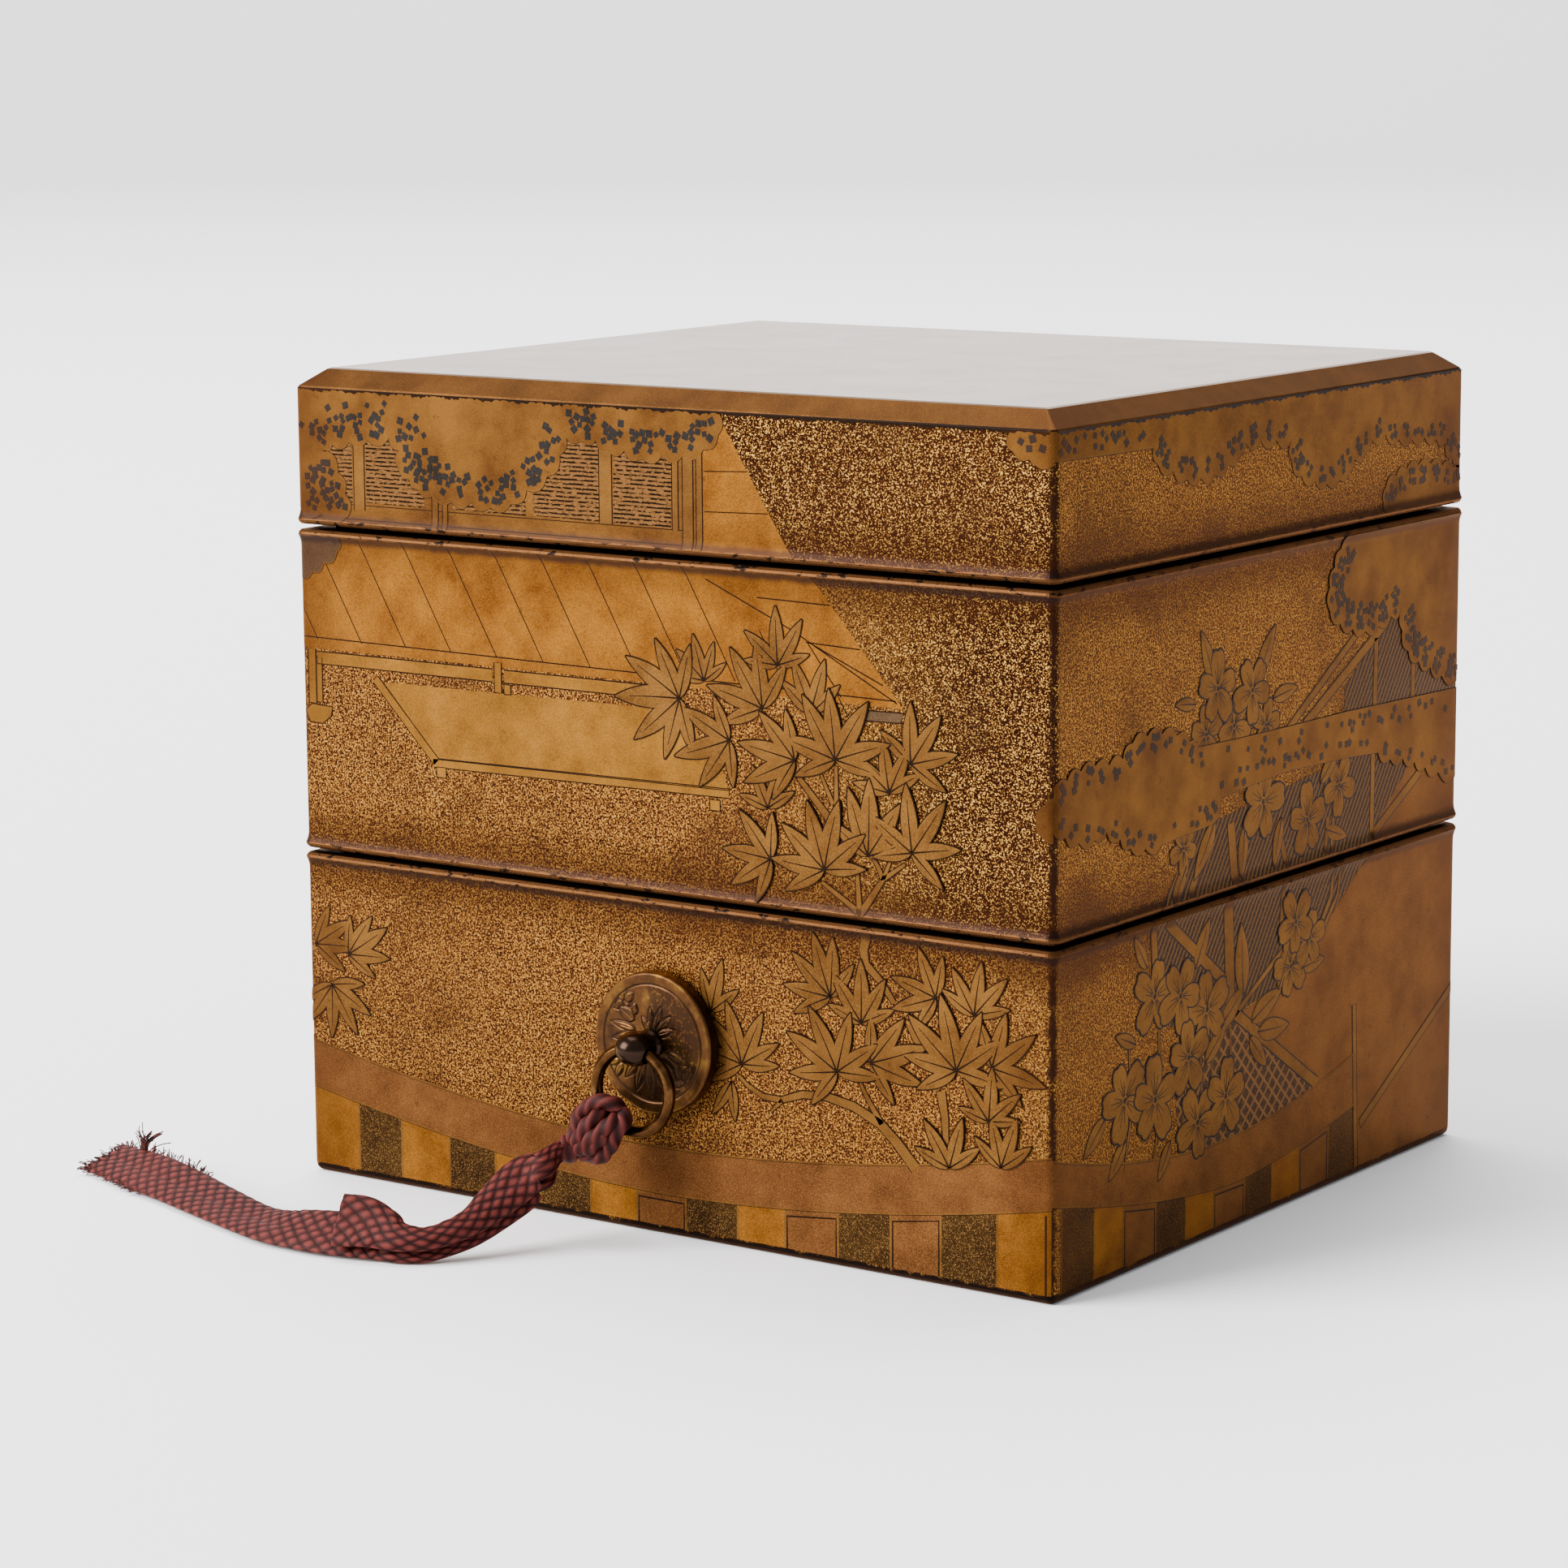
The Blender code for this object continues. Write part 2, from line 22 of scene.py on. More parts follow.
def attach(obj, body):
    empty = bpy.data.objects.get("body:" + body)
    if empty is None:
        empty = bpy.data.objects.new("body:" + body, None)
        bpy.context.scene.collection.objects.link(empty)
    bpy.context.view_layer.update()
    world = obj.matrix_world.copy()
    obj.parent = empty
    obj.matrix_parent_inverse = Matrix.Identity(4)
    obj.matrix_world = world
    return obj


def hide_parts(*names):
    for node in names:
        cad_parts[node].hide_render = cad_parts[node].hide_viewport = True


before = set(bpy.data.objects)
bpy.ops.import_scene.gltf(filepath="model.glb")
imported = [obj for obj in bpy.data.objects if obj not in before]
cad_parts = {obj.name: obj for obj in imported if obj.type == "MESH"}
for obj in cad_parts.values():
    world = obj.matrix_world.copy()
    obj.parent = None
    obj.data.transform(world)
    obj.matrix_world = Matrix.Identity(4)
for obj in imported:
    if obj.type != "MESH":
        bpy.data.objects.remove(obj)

LOG = logging.getLogger("food_box")
MM = 0.001
BODY = "root"
Point2 = tuple[float, float]
Colour = tuple[float, float, float]
Place3 = tuple[float, float, float]

# Box, in millimetres
HALVES = (60.0, 52.35)
CORNER_RADIUS = 1.0
JOINTS = (44.9, 89.05)
FLARE_RISES = (0.98, 1.38, 1.78, 2.18, 2.58)
FLARE_STANDOUTS = (0.4, 0.225, 0.1, 0.025, 0.0)

# Painted shade, painted highlight, chips and the dark joint line beside a joint, in metres: where each starts
# and where it is full
RIM_SHADE = (0.0075, 0.0015)
RIM_GROOVE_SHADE = (0.0024, 0.0015)
RIM_BEAD_HIGHLIGHT = (0.00122, 0.00104)
RIM_NOTCH = (0.00042, 0.00030)


# Node helpers


class Nodes:
    """Adds and links the nodes of one tree."""

    def __init__(self, tree: bpy.types.NodeTree) -> None:
        """Keep the tree."""
        self.tree = tree

    def feed(self, socket: Any, value: Any) -> None:
        """Link a socket, or set its constant.

        Args:
            socket: The input to set.
            value: An output socket, a number, or a colour or vector of three numbers.
        """
        if isinstance(value, bpy.types.NodeSocket):
            self.tree.links.new(value, socket)
        elif isinstance(value, tuple) and socket.type == "RGBA":
            socket.default_value = (*value[:3], 1.0)
        else:
            socket.default_value = value

    def add(self, kind: str, inputs: dict[Any, Any] | None = None, **settings: Any) -> Any:
        """Add a node.

        Args:
            kind: Blender's name for the node type.
            inputs: Values or sockets by input name or place.
            **settings: Properties of the node.

        Returns:
            The node.
        """
        node = self.tree.nodes.new(kind)
        for name, value in settings.items():
            setattr(node, name, value)
        for key, value in (inputs or {}).items():
            self.feed(node.inputs[key], value)
        return node


class Shader(Nodes):
    """The nodes of one material."""

    def __init__(self, name: str) -> None:
        """Start a material.

        Args:
            name: The material's name.
        """
        self.material = bpy.data.materials.new(name)
        self.material.use_nodes = True
        super().__init__(self.material.node_tree)
        self.surface = self.tree.nodes["Principled BSDF"]
        self.place = self.add("ShaderNodeTexCoord").outputs["Object"]

    def math(self, operation: str, first: Any, second: Any = 0.0) -> Any:
        """Return the output of a Math node."""
        return self.add("ShaderNodeMath", {0: first, 1: second}, operation=operation).outputs[0]

    def times(self, first: Any, second: Any) -> Any:
        """Return the product of two values."""
        return self.math("MULTIPLY", first, second)

    def plus(self, first: Any, second: Any) -> Any:
        """Return the sum of two values."""
        return self.math("ADD", first, second)

    def less(self, first: Any, second: Any) -> Any:
        """Return the first value less the second."""
        return self.math("SUBTRACT", first, second)

    def mix(self, share: Any, first: Any, second: Any) -> Any:
        """Return a mix of two colours, with the share of the second."""
        return self.add("ShaderNodeMix", {0: share, 6: first, 7: second}, data_type="RGBA").outputs[2]

    def step(self, value: Any, low: float, high: float) -> Any:
        """Return 0 at low and 1 at high with a smooth ramp between them.

        Args:
            value: The value to test.
            low: Where the ramp is 0.
            high: Where the ramp is 1.

        Returns:
            The value socket.
        """
        inputs = {"Value": value, "From Min": low, "From Max": high}
        if low > high:
            inputs.update({"From Min": high, "From Max": low, "To Min": 1.0, "To Max": 0.0})
        node = self.add("ShaderNodeMapRange", inputs, interpolation_type="SMOOTHSTEP")
        return node.outputs["Result"]

    def noise(self, scale: float, detail: float = 2.0, roughness: float = 0.5, place: Any = None) -> Any:
        """Return a noise value from 0 to 1, with scale cells for each metre."""
        inputs = {"Vector": place or self.place, "Scale": scale, "Detail": detail, "Roughness": roughness}
        return self.add("ShaderNodeTexNoise", inputs).outputs["Fac"]

    def cells(self, scale: float, output: str = "Distance") -> Any:
        """Return a value or colour of scattered cells, with scale cells for each metre."""
        return self.add("ShaderNodeTexVoronoi", {"Vector": self.place, "Scale": scale}).outputs[output]

    def ramp(self, value: Any, stops: Sequence[tuple[float, Colour]]) -> Any:
        """Return a colour from a ramp.

        Args:
            value: Place on the ramp.
            stops: Pairs of place and colour.

        Returns:
            The colour socket.
        """
        node = self.add("ShaderNodeValToRGB", {0: value})
        points = node.color_ramp.elements
        for i, (place, colour) in enumerate(stops):
            point = points[i] if i < 2 else points.new(place)
            point.position = place
            point.color = (*colour, 1.0)
        return node.outputs["Color"]

    def axis(self, index: int) -> Any:
        """Return one coordinate of the place."""
        return self.add("ShaderNodeSeparateXYZ", {0: self.place}).outputs[index]

    def attribute(self, name: str) -> Any:
        """Return the value of a mesh attribute."""
        return self.add("ShaderNodeAttribute", attribute_name=name).outputs["Fac"]

    def stretched(self, scale: Place3, place: Any = None) -> Any:
        """Return the place, stretched along its axes."""
        return self.add("ShaderNodeMapping", {0: place or self.place, 3: scale}).outputs[0]

    def ragged(self) -> Any:
        """Return how far a ragged border strays, in metres, for worn borders and painted shade alike."""
        return self.times(self.less(self.noise(420, 4.0, 0.65), 0.5), 0.0022)

    def corner_gap(self) -> Any:
        """Return the distance from the nearest upright corner, in metres."""
        gaps = [self.less(half * MM, self.math("ABSOLUTE", self.axis(i))) for i, half in enumerate(HALVES)]
        return self.math("MAXIMUM", *gaps)

    def rim_painted_light_and_wear(self, colour: Any, joint: float, gold: Colour, black: Colour) -> Any:
        """Paint shade beside a joint and deeper shade where the wall curves out into the flare, paint a
        highlight along its bead and chip it.

        Args:
            colour: The finish's colour.
            joint: Height of the joint in metres.
            gold: Colour of the painted highlight on the bead.
            black: Colour of the bare lacquer.

        Returns:
            The new colour.
        """
        ragged = self.ragged()
        gap = self.math("ABSOLUTE", self.less(self.axis(2), joint))
        far = self.plus(gap, self.times(ragged, 0.35))
        wide = self.plus(gap, self.times(ragged, 2.0))
        # Painted shade on the wall near the joint, then deeper painted shade where the wall curves out into
        # the flare
        shade = self.times(self.step(wide, *RIM_SHADE), 0.30)
        colour = self.mix(shade, colour, (0.022, 0.0060, 0.0018))
        hollow = self.times(self.step(far, *RIM_GROOVE_SHADE), 0.80)
        colour = self.mix(hollow, colour, (0.010, 0.0048, 0.0042))
        # A painted highlight along the bead, broken by chips of bare black lacquer
        chips = self.step(self.noise(420, 4.0, 0.72, self.stretched((1.0, 1.0, 2.6))), 0.57, 0.60)
        bead = self.mix(chips, self.mix(0.35, colour, gold), black)
        colour = self.mix(self.step(far, *RIM_BEAD_HIGHLIGHT), colour, bead)
        return self.mix(self.step(gap, *RIM_NOTCH), colour, black)

    def bump(self, height: Any, strength: float, distance: float) -> Any:
        """Return a normal that is bent by a height, where 1 is the distance in metres."""
        inputs = {"Height": height, "Strength": strength, "Distance": distance}
        return self.add("ShaderNodeBump", inputs).outputs["Normal"]

    def finish(self, colour: Any, roughness: Any, normal: Any = None, **constants: Any) -> bpy.types.Material:
        """Set the surface and return the material.

        Args:
            colour: Base colour.
            roughness: Roughness.
            normal: Normal socket.
            **constants: Other inputs, by name with underscores for blanks.

        Returns:
            The material.
        """
        self.feed(self.surface.inputs["Base Color"], colour)
        self.feed(self.surface.inputs["Roughness"], roughness)
        if normal is not None:
            self.feed(self.surface.inputs["Normal"], normal)
        for name, value in constants.items():
            self.surface.inputs[name.replace("_", " ")].default_value = value
        return self.material


# Finishes

# A low, warm edge reflection keeps the pale room from hazing the gold
GOLD_SHEEN = {"Specular_Tint": (1.0, 0.60, 0.32, 1.0), "Specular_IOR_Level": 0.05}
# Colour of the painted highlight along each joint's bead
BEAD_HIGHLIGHT_GOLD = (0.110, 0.0430, 0.0110)
BARE_BLACK = (0.003, 0.0020, 0.0020)
BARE_RED = (0.022, 0.005, 0.004)


@dataclass(frozen=True)
class FlakeLacquer:
    """Lacquer strewn with small gold flakes, worn at rims, corners and foot, with painted shade and a painted
    highlight along the rims.
    """

    name: str
    rims: tuple[float, ...]
    foot: bool = False
    polished_top: float = 0.0
    coarse: Point2 = (0.010, 0.055)
    dark: Colour = (0.0090, 0.0016, 0.0010)
    middle: Colour = (0.054, 0.0165, 0.0050)
    light: Colour = (0.160, 0.0640, 0.0115)
    glint: Colour = (0.300, 0.1550, 0.0300)
    worn: Colour = (0.016, 0.0055, 0.0030)

    def build(self) -> bpy.types.Material:
        """Make the material.

        Returns:
            The material.
        """
        s = Shader(self.name)
        x, y, z = s.axis(0), s.axis(1), s.axis(2)
        grain = s.plus(s.noise(4200, 1.0, 0.6), s.times(s.cells(3400, "Color"), 0.16))
        # The glint stops, and the brightest stop of the coarse ramp, are painted glints of flakes catching
        # the light
        stops = ((0.49, self.dark), (0.56, self.middle), (0.64, self.light), (0.74, self.glint))
        flakes = s.ramp(grain, stops)
        big = s.plus(s.noise(4800, 1.0, 0.6), s.times(s.cells(4000, "Color"), 0.16))
        ember = (0.0070, 0.0010, 0.0006)
        coarse = s.ramp(
            big, ((0.57, ember), (0.64, self.middle), (0.72, self.glint), (0.82, (0.50, 0.30, 0.07)))
        )
        near = s.times(s.step(x, *self.coarse), s.step(y, -0.0505, -0.0515))
        flakes = s.mix(near, flakes, coarse)
        patches = s.noise(60, 4.0, 0.6)
        colour = s.mix(s.step(patches, 0.50, 0.72), flakes, s.mix(0.55, flakes, self.worn))
        colour = s.mix(s.step(s.noise(22, 2.0, 0.5), 0.35, 0.65), colour, s.mix(0.16, colour, self.middle))
        ragged = s.ragged()
        corner = s.plus(s.corner_gap(), ragged)
        colour = s.mix(s.step(corner, 0.0010, 0.0003), colour, self.worn)
        rough = s.plus(0.30, s.times(s.noise(900, 2.0), 0.18))
        for joint in self.rims:
            # Painted shade that darkens the wall over a wide band towards each joint, then the rim's painted
            # shade, highlight and chips
            wide = s.math("ABSOLUTE", s.less(z, joint))
            wide = s.plus(wide, s.times(ragged, 2.4))
            shade = s.times(s.step(wide, 0.0085, 0.0020), 0.72)
            colour = s.mix(shade, colour, s.mix(0.6, colour, self.dark))
            colour = s.rim_painted_light_and_wear(colour, joint, BEAD_HIGHLIGHT_GOLD, BARE_BLACK)
        if self.foot:
            low = s.plus(z, s.times(ragged, 1.2))
            colour = s.mix(s.step(low, 0.0018, 0.0010), colour, BARE_BLACK)
        if self.polished_top:
            low = s.plus(z, s.times(ragged, 0.25))
            line = s.step(low, self.polished_top - 0.0029, self.polished_top - 0.0026)
            colour = s.mix(line, colour, BARE_BLACK)
        inside = s.step(s.math("ABSOLUTE", x), 0.0571, 0.0569)
        inside = s.times(inside, s.step(s.math("ABSOLUTE", y), 0.0495, 0.0493))
        if self.polished_top:
            inside = s.times(inside, s.step(z, self.polished_top - 0.0030, self.polished_top - 0.0035))
        lining = s.mix(s.step(s.cells(900), 0.20, 0.12), BARE_RED, (0.20, 0.09, 0.02))
        colour = s.mix(inside, colour, lining)
        normal = s.bump(grain, 0.35, 0.00006)
        return s.finish(colour, rough, normal, Metallic=0.55, **GOLD_SHEEN)


@dataclass(frozen=True)
class PlainGold:
    """Even gold powder over lacquer, a little mottled."""

    name: str
    dark: Colour
    light: Colour
    speckle: float = 0.25
    roughness: float = 0.40
    metallic: float = 0.50

    def build(self) -> bpy.types.Material:
        """Make the material.

        Returns:
            The material.
        """
        s = Shader(self.name)
        cloudy = s.noise(160, 5.0, 0.62)
        colour = s.ramp(cloudy, ((0.32, self.dark), (0.66, self.light)))
        fine = s.noise(6200, 1.0, 0.6)
        colour = s.mix(s.times(s.step(fine, 0.50, 0.36), self.speckle), colour, (0.015, 0.0040, 0.0016))
        colour = s.mix(s.times(s.step(fine, 0.56, 0.70), self.speckle), colour, (0.200, 0.100, 0.028))
        wear = s.step(s.noise(520, 5.0, 0.7), 0.63, 0.70)
        colour = s.mix(s.times(wear, 0.45), colour, (0.020, 0.007, 0.003))
        # Painted shade towards the upright corners
        corner = s.step(s.corner_gap(), 0.0105, 0.0)
        colour = s.mix(s.times(corner, 0.45), colour, (0.024, 0.0065, 0.0018))
        # Painted shade and painted highlight along each rim, with chips
        for joint in JOINTS:
            colour = s.rim_painted_light_and_wear(colour, joint * MM, BEAD_HIGHLIGHT_GOLD, BARE_BLACK)
        rough = s.plus(self.roughness - 0.06, s.times(fine, 0.14))
        return s.finish(colour, rough, s.bump(fine, 0.25, 0.00004), Metallic=self.metallic, **GOLD_SHEEN)


@dataclass(frozen=True)
class PolishedTop:
    """The polished top of the lid, with worn, faint drawing under a clear coat."""

    name: str = "polished_top"

    def build(self) -> bpy.types.Material:
        """Make the material.

        Returns:
            The material.
        """
        s = Shader(self.name)
        still = s.ramp(s.noise(60, 5.0, 0.6), ((0.30, (0.070, 0.034, 0.010)), (0.72, (0.150, 0.080, 0.026))))
        for slope, period, offset in ((0.42, 0.034, 0.0), (-1.6, 0.052, 0.013)):
            turned = s.less(s.axis(1), s.times(s.axis(0), slope))
            scaled = s.math("DIVIDE", s.plus(turned, offset), period * math.sqrt(1 + slope * slope))
            line = s.step(s.math("PINGPONG", scaled, 0.5), 0.012, 0.004)
            still = s.mix(s.times(line, 0.7), still, (0.030, 0.014, 0.006))
        wear = s.step(s.noise(150, 6.0, 0.7), 0.60, 0.72)
        still = s.mix(s.times(wear, 0.5), still, (0.045, 0.022, 0.010))
        rough = s.plus(0.10, s.times(s.noise(90, 5.0, 0.65), 0.22))
        normal = s.bump(s.noise(45, 4.0, 0.6), 0.10, 0.0004)
        coat = {"Coat_Weight": 0.45, "Coat_Roughness": 0.05}
        tint = (1.0, 0.80, 0.62, 1.0)
        return s.finish(
            still, rough, normal, Metallic=0.7, Specular_Tint=tint, Specular_IOR_Level=0.2, **coat
        )


@dataclass(frozen=True)
class Patina:
    """Worn copper alloy, bright where hands rub it and dark in its hollows."""

    name: str
    dark: Colour
    light: Colour
    bright: Colour
    hollow: str = ""
    roughness: float = 0.34
    metallic: float = 0.85
    scale: float = 260.0
    bumpy: float = 0.00003
    punched: Place3 | None = None

    def build(self) -> bpy.types.Material:
        """Make the material.

        Returns:
            The material.
        """
        s = Shader(self.name)
        cloudy = s.noise(self.scale, 5.0, 0.62)
        colour = s.ramp(cloudy, ((0.30, self.dark), (0.52, self.light), (0.74, self.bright)))
        pits = s.step(s.noise(self.scale * 6, 3.0, 0.6), 0.62, 0.72)
        colour = s.mix(s.times(pits, 0.6), colour, self.dark)
        if self.hollow:
            colour = s.mix(s.attribute(self.hollow), colour, (0.012, 0.005, 0.003))
        height = cloudy
        if self.punched:
            across = s.less(s.axis(0), self.punched[0])
            up = s.less(s.axis(2), self.punched[1])
            reach = s.math("SQRT", s.plus(s.times(across, across), s.times(up, up)))
            field = s.step(reach, self.punched[2], self.punched[2] - 0.0002)
            field = s.times(field, s.step(across, -0.0012, 0.0))
            dots = s.times(field, s.step(s.cells(2100), 0.28, 0.42))
            colour = s.mix(s.times(dots, 0.75), colour, self.dark)
            height = s.less(cloudy, dots)
        rough = s.plus(self.roughness - 0.08, s.times(s.noise(self.scale * 3, 3.0), 0.2))
        return s.finish(
            colour, rough, s.bump(height, 0.4, self.bumpy), Metallic=self.metallic,
            Specular_Tint=(1.0, 0.78, 0.55, 1.0)
        )


@dataclass(frozen=True)
class Silk:
    """Dark red silk yarn with fine filaments, and painted shade that deepens from the tops of the yarns into
    the gaps between them.
    """

    name: str
    dark: Colour = (0.0120, 0.0016, 0.0014)
    middle: Colour = (0.046, 0.0072, 0.0060)
    light: Colour = (0.125, 0.0240, 0.0190)

    def build(self) -> bpy.types.Material:
        """Make the material.

        Returns:
            The material.
        """
        s = Shader(self.name)
        uv = s.add("ShaderNodeUVMap", uv_map="yarn").outputs[0]
        depth = s.attribute("depth")
        strands = s.noise(1.0, 2.0, 0.6, s.stretched((9.0, 260.0, 1.0), uv))
        # The depth paints shade into the gaps between the yarns, and the tops keep the lightest colour
        gap = (0.0012, 0.0002, 0.0002)
        colour = s.ramp(depth, ((0.15, gap), (0.40, self.dark), (0.70, self.middle), (1.0, self.light)))
        colour = s.mix(s.step(strands, 0.55, 0.35), colour, s.mix(0.55, colour, self.dark))
        uneven = s.noise(140, 3.0, 0.6)
        colour = s.mix(s.times(s.step(uneven, 0.35, 0.7), 0.20), colour, (0.070, 0.0140, 0.0120))
        normal = s.bump(strands, 0.5, 0.00006)
        return s.finish(colour, 0.55, normal, Specular_IOR_Level=0.08)


@dataclass(frozen=True)
class Filament:
    """Loose silk filaments."""

    name: str

    def build(self) -> bpy.types.Material:
        """Make the material.

        Returns:
            The material.
        """
        s = Shader(self.name)
        colour = s.ramp(s.noise(700, 2.0), ((0.35, (0.020, 0.0025, 0.0022)), (0.65, (0.075, 0.0140, 0.0110))))
        return s.finish(colour, 0.55, Specular_IOR_Level=0.15)


@dataclass(frozen=True)
class Paper:
    """The plain pale floor."""

    name: str = "pale_floor"
    colour: Colour = (0.860, 0.855, 0.875)

    def build(self) -> bpy.types.Material:
        """Make the material.

        Returns:
            The material.
        """
        s = Shader(self.name)
        tone = s.mix(s.times(s.noise(6.0, 2.0), 0.02), self.colour, (0.70, 0.70, 0.72))
        return s.finish(tone, 0.75)


# Mesh helpers


def dress(piece: bpy.types.Object, node: str = "") -> None:
    """Fix a piece to the body and hide the solid that it replaces, if any.

    Args:
        piece: The piece.
        node: The solid that it replaces, if any.
    """
    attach(piece, BODY)
    if node:
        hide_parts(node)


def new_object(
    name: str, mesh: bpy.types.Mesh, materials: Sequence[bpy.types.Material] = ()
) -> bpy.types.Object:
    """Add a mesh to the scene.

    Args:
        name: The piece's name.
        mesh: Its mesh, already in place.
        materials: Its materials, in the order of its slots.

    Returns:
        The object.
    """
    piece = bpy.data.objects.new(name, mesh)
    bpy.context.scene.collection.objects.link(piece)
    for material in materials:
        mesh.materials.append(material)
    return piece


def shell_mesh(
    name: str,
    points: np.ndarray,
    uv: np.ndarray | None = None,
    attributes: dict[str, np.ndarray] | None = None,
    closed_rows: bool = False,
) -> bpy.types.Mesh:
    """Skin a grid of points into a closed tube.

    Args:
        name: The mesh's name.
        points: Array of rows by columns by 3; each row is a closed loop.
        uv: Array of rows by columns by 2 for the map called yarn.
        attributes: Values of rows by columns for named point attributes.
        closed_rows: True where the last row meets the first, and False to close both ends.

    Returns:
        The mesh.
    """
    rows, columns = points.shape[:2]
    index = np.arange(rows * columns).reshape(rows, columns)
    above = np.roll(index, -1, axis=0) if closed_rows else index[1:]
    below = index if closed_rows else index[:-1]
    right = np.roll(below, -1, axis=1)
    right_above = np.roll(above, -1, axis=1)
    faces = np.stack([below, right, right_above, above], axis=-1).reshape(-1, 4).tolist()
    if not closed_rows:
        faces.append(index[0][::-1].tolist())
        faces.append(index[-1].tolist())
    mesh = bpy.data.meshes.new(name)
    mesh.from_pydata(points.reshape(-1, 3).tolist(), [], faces)
    if uv is not None:
        layer = mesh.uv_layers.new(name="yarn")
        corners = np.zeros(len(mesh.loops), np.int32)
        mesh.loops.foreach_get("vertex_index", corners)
        layer.uv.foreach_set("vector", uv.reshape(-1, 2)[corners].astype(np.float32).ravel())
    for key, values in (attributes or {}).items():
        layer = mesh.attributes.new(key, "FLOAT", "POINT")
        layer.data.foreach_set("value", values.astype(np.float32).ravel())
    form = bmesh.new()
    form.from_mesh(mesh)
    bmesh.ops.recalc_face_normals(form, faces=form.faces)
    form.to_mesh(mesh)
    form.free()
    mesh.shade_smooth()
    return mesh


def smooth_rows(values: Sequence[Sequence[float]], spacing: float) -> np.ndarray:
    """Read evenly spaced rows from a smooth curve through the given rows.

    Args:
        values: Rows whose first three numbers are a place in metres.
        spacing: Distance between the rows returned.

    Returns:
        An array of rows.
    """
    rows = np.array(values, float)
    padded = np.vstack([rows[:1], rows, rows[-1:]])
    t = np.linspace(0, 1, 24, endpoint=False)[:, None]
    parts = []
    for i in range(len(rows) - 1):
        a, b, c, d = padded[i : i + 4]
        parts.append(
            0.5 * (2 * b + (c - a) * t + (2 * a - 5 * b + 4 * c - d) * t**2 + (3 * b - a - 3 * c + d) * t**3)
        )
    fine = np.vstack([*parts, rows[-1:]])
    lengths = np.concatenate([[0.0], np.cumsum(np.linalg.norm(np.diff(fine[:, :3], axis=0), axis=1))])
    count = max(2, round(lengths[-1] / spacing))
    wanted = np.linspace(0, lengths[-1], count + 1)
    return np.stack([np.interp(wanted, lengths, fine[:, k]) for k in range(fine.shape[1])], axis=1)


def unit(vectors: np.ndarray) -> np.ndarray:
    """Return vectors of length 1 along the last axis."""
    return vectors / np.maximum(np.linalg.norm(vectors, axis=-1, keepdims=True), 1e-12)


def along_path(places: np.ndarray) -> np.ndarray:
    """Return the unit direction at each point of a path."""
    return unit(np.gradient(places, axis=0))


class GeometryTree(Nodes):
    """Builds a geometry node group and applies it to a mesh of points."""

    def __init__(self, name: str, inputs: Sequence[tuple[str, str]]) -> None:
        """Start a group.

        Args:
            name: The group's name.
            inputs: Name and socket type of each input after the geometry.
        """
        super().__init__(bpy.data.node_groups.new(name, "GeometryNodeTree"))
        face = self.tree.interface
        face.new_socket("Geometry", in_out="INPUT", socket_type="NodeSocketGeometry")
        self.keys = {
            label: face.new_socket(label, in_out="INPUT", socket_type=kind).identifier for label,
            kind in inputs
        }
        face.new_socket("Geometry", in_out="OUTPUT", socket_type="NodeSocketGeometry")
        self.start = self.add("NodeGroupInput").outputs
        self.end = self.add("NodeGroupOutput").inputs

    def close(self, geometry: Any) -> None:
        """Realize the instances, set the material and end the group.

        Args:
            geometry: Output of the last node.
        """
        real = self.add("GeometryNodeRealizeInstances", {0: geometry})
        final = self.add("GeometryNodeSetMaterial", {0: real.outputs[0], "Material": self.start["Material"]})
        self.feed(self.end[0], final.outputs[0])

    def turned(self) -> Any:
        """Return the turn that each point of a points mesh has."""
        turn = self.add("GeometryNodeInputNamedAttribute", {"Name": "turn"}, data_type="FLOAT_VECTOR")
        return self.add("FunctionNodeEulerToRotation", {0: turn.outputs["Attribute"]}).outputs[0]

    def apply(self, name: str, points: bpy.types.Mesh, values: dict[str, Any]) -> bpy.types.Object:
        """Run the group on points and keep the result as a plain mesh.

        Args:
            name: The piece's name.
            points: Mesh of points with the attributes the group reads.
            values: Value of each input.

        Returns:
            The piece.
        """
        seed = bpy.data.objects.new(f"{name}_points", points)
        bpy.context.scene.collection.objects.link(seed)
        modifier = seed.modifiers.new(name, "NODES")
        modifier.node_group = self.tree
        for label, value in values.items():
            modifier[self.keys[label]] = value
        seed.update_tag()
        bpy.context.view_layer.update()
        mesh = bpy.data.meshes.new_from_object(seed.evaluated_get(bpy.context.evaluated_depsgraph_get()))
        mesh.name = name
        seed.modifiers.clear()
        bpy.data.objects.remove(seed)
        return new_object(name, mesh)


def points_mesh(
    name: str, places: Sequence[Sequence[float]], turns: Sequence[Sequence[float]]
) -> bpy.types.Mesh:
    """Return a mesh of loose points with a turn for each.

    Args:
        name: The mesh's name.
        places: The points.
        turns: Turns about X, Y and Z in radians.

    Returns:
        The mesh.
    """
    mesh = bpy.data.meshes.new(name)
    mesh.from_pydata([tuple(place) for place in places], [], [])
    layer = mesh.attributes.new("turn", "FLOAT_VECTOR", "POINT")
    layer.data.foreach_set("vector", np.array(turns, np.float32).ravel())
    return mesh


# Camera, floor and lights


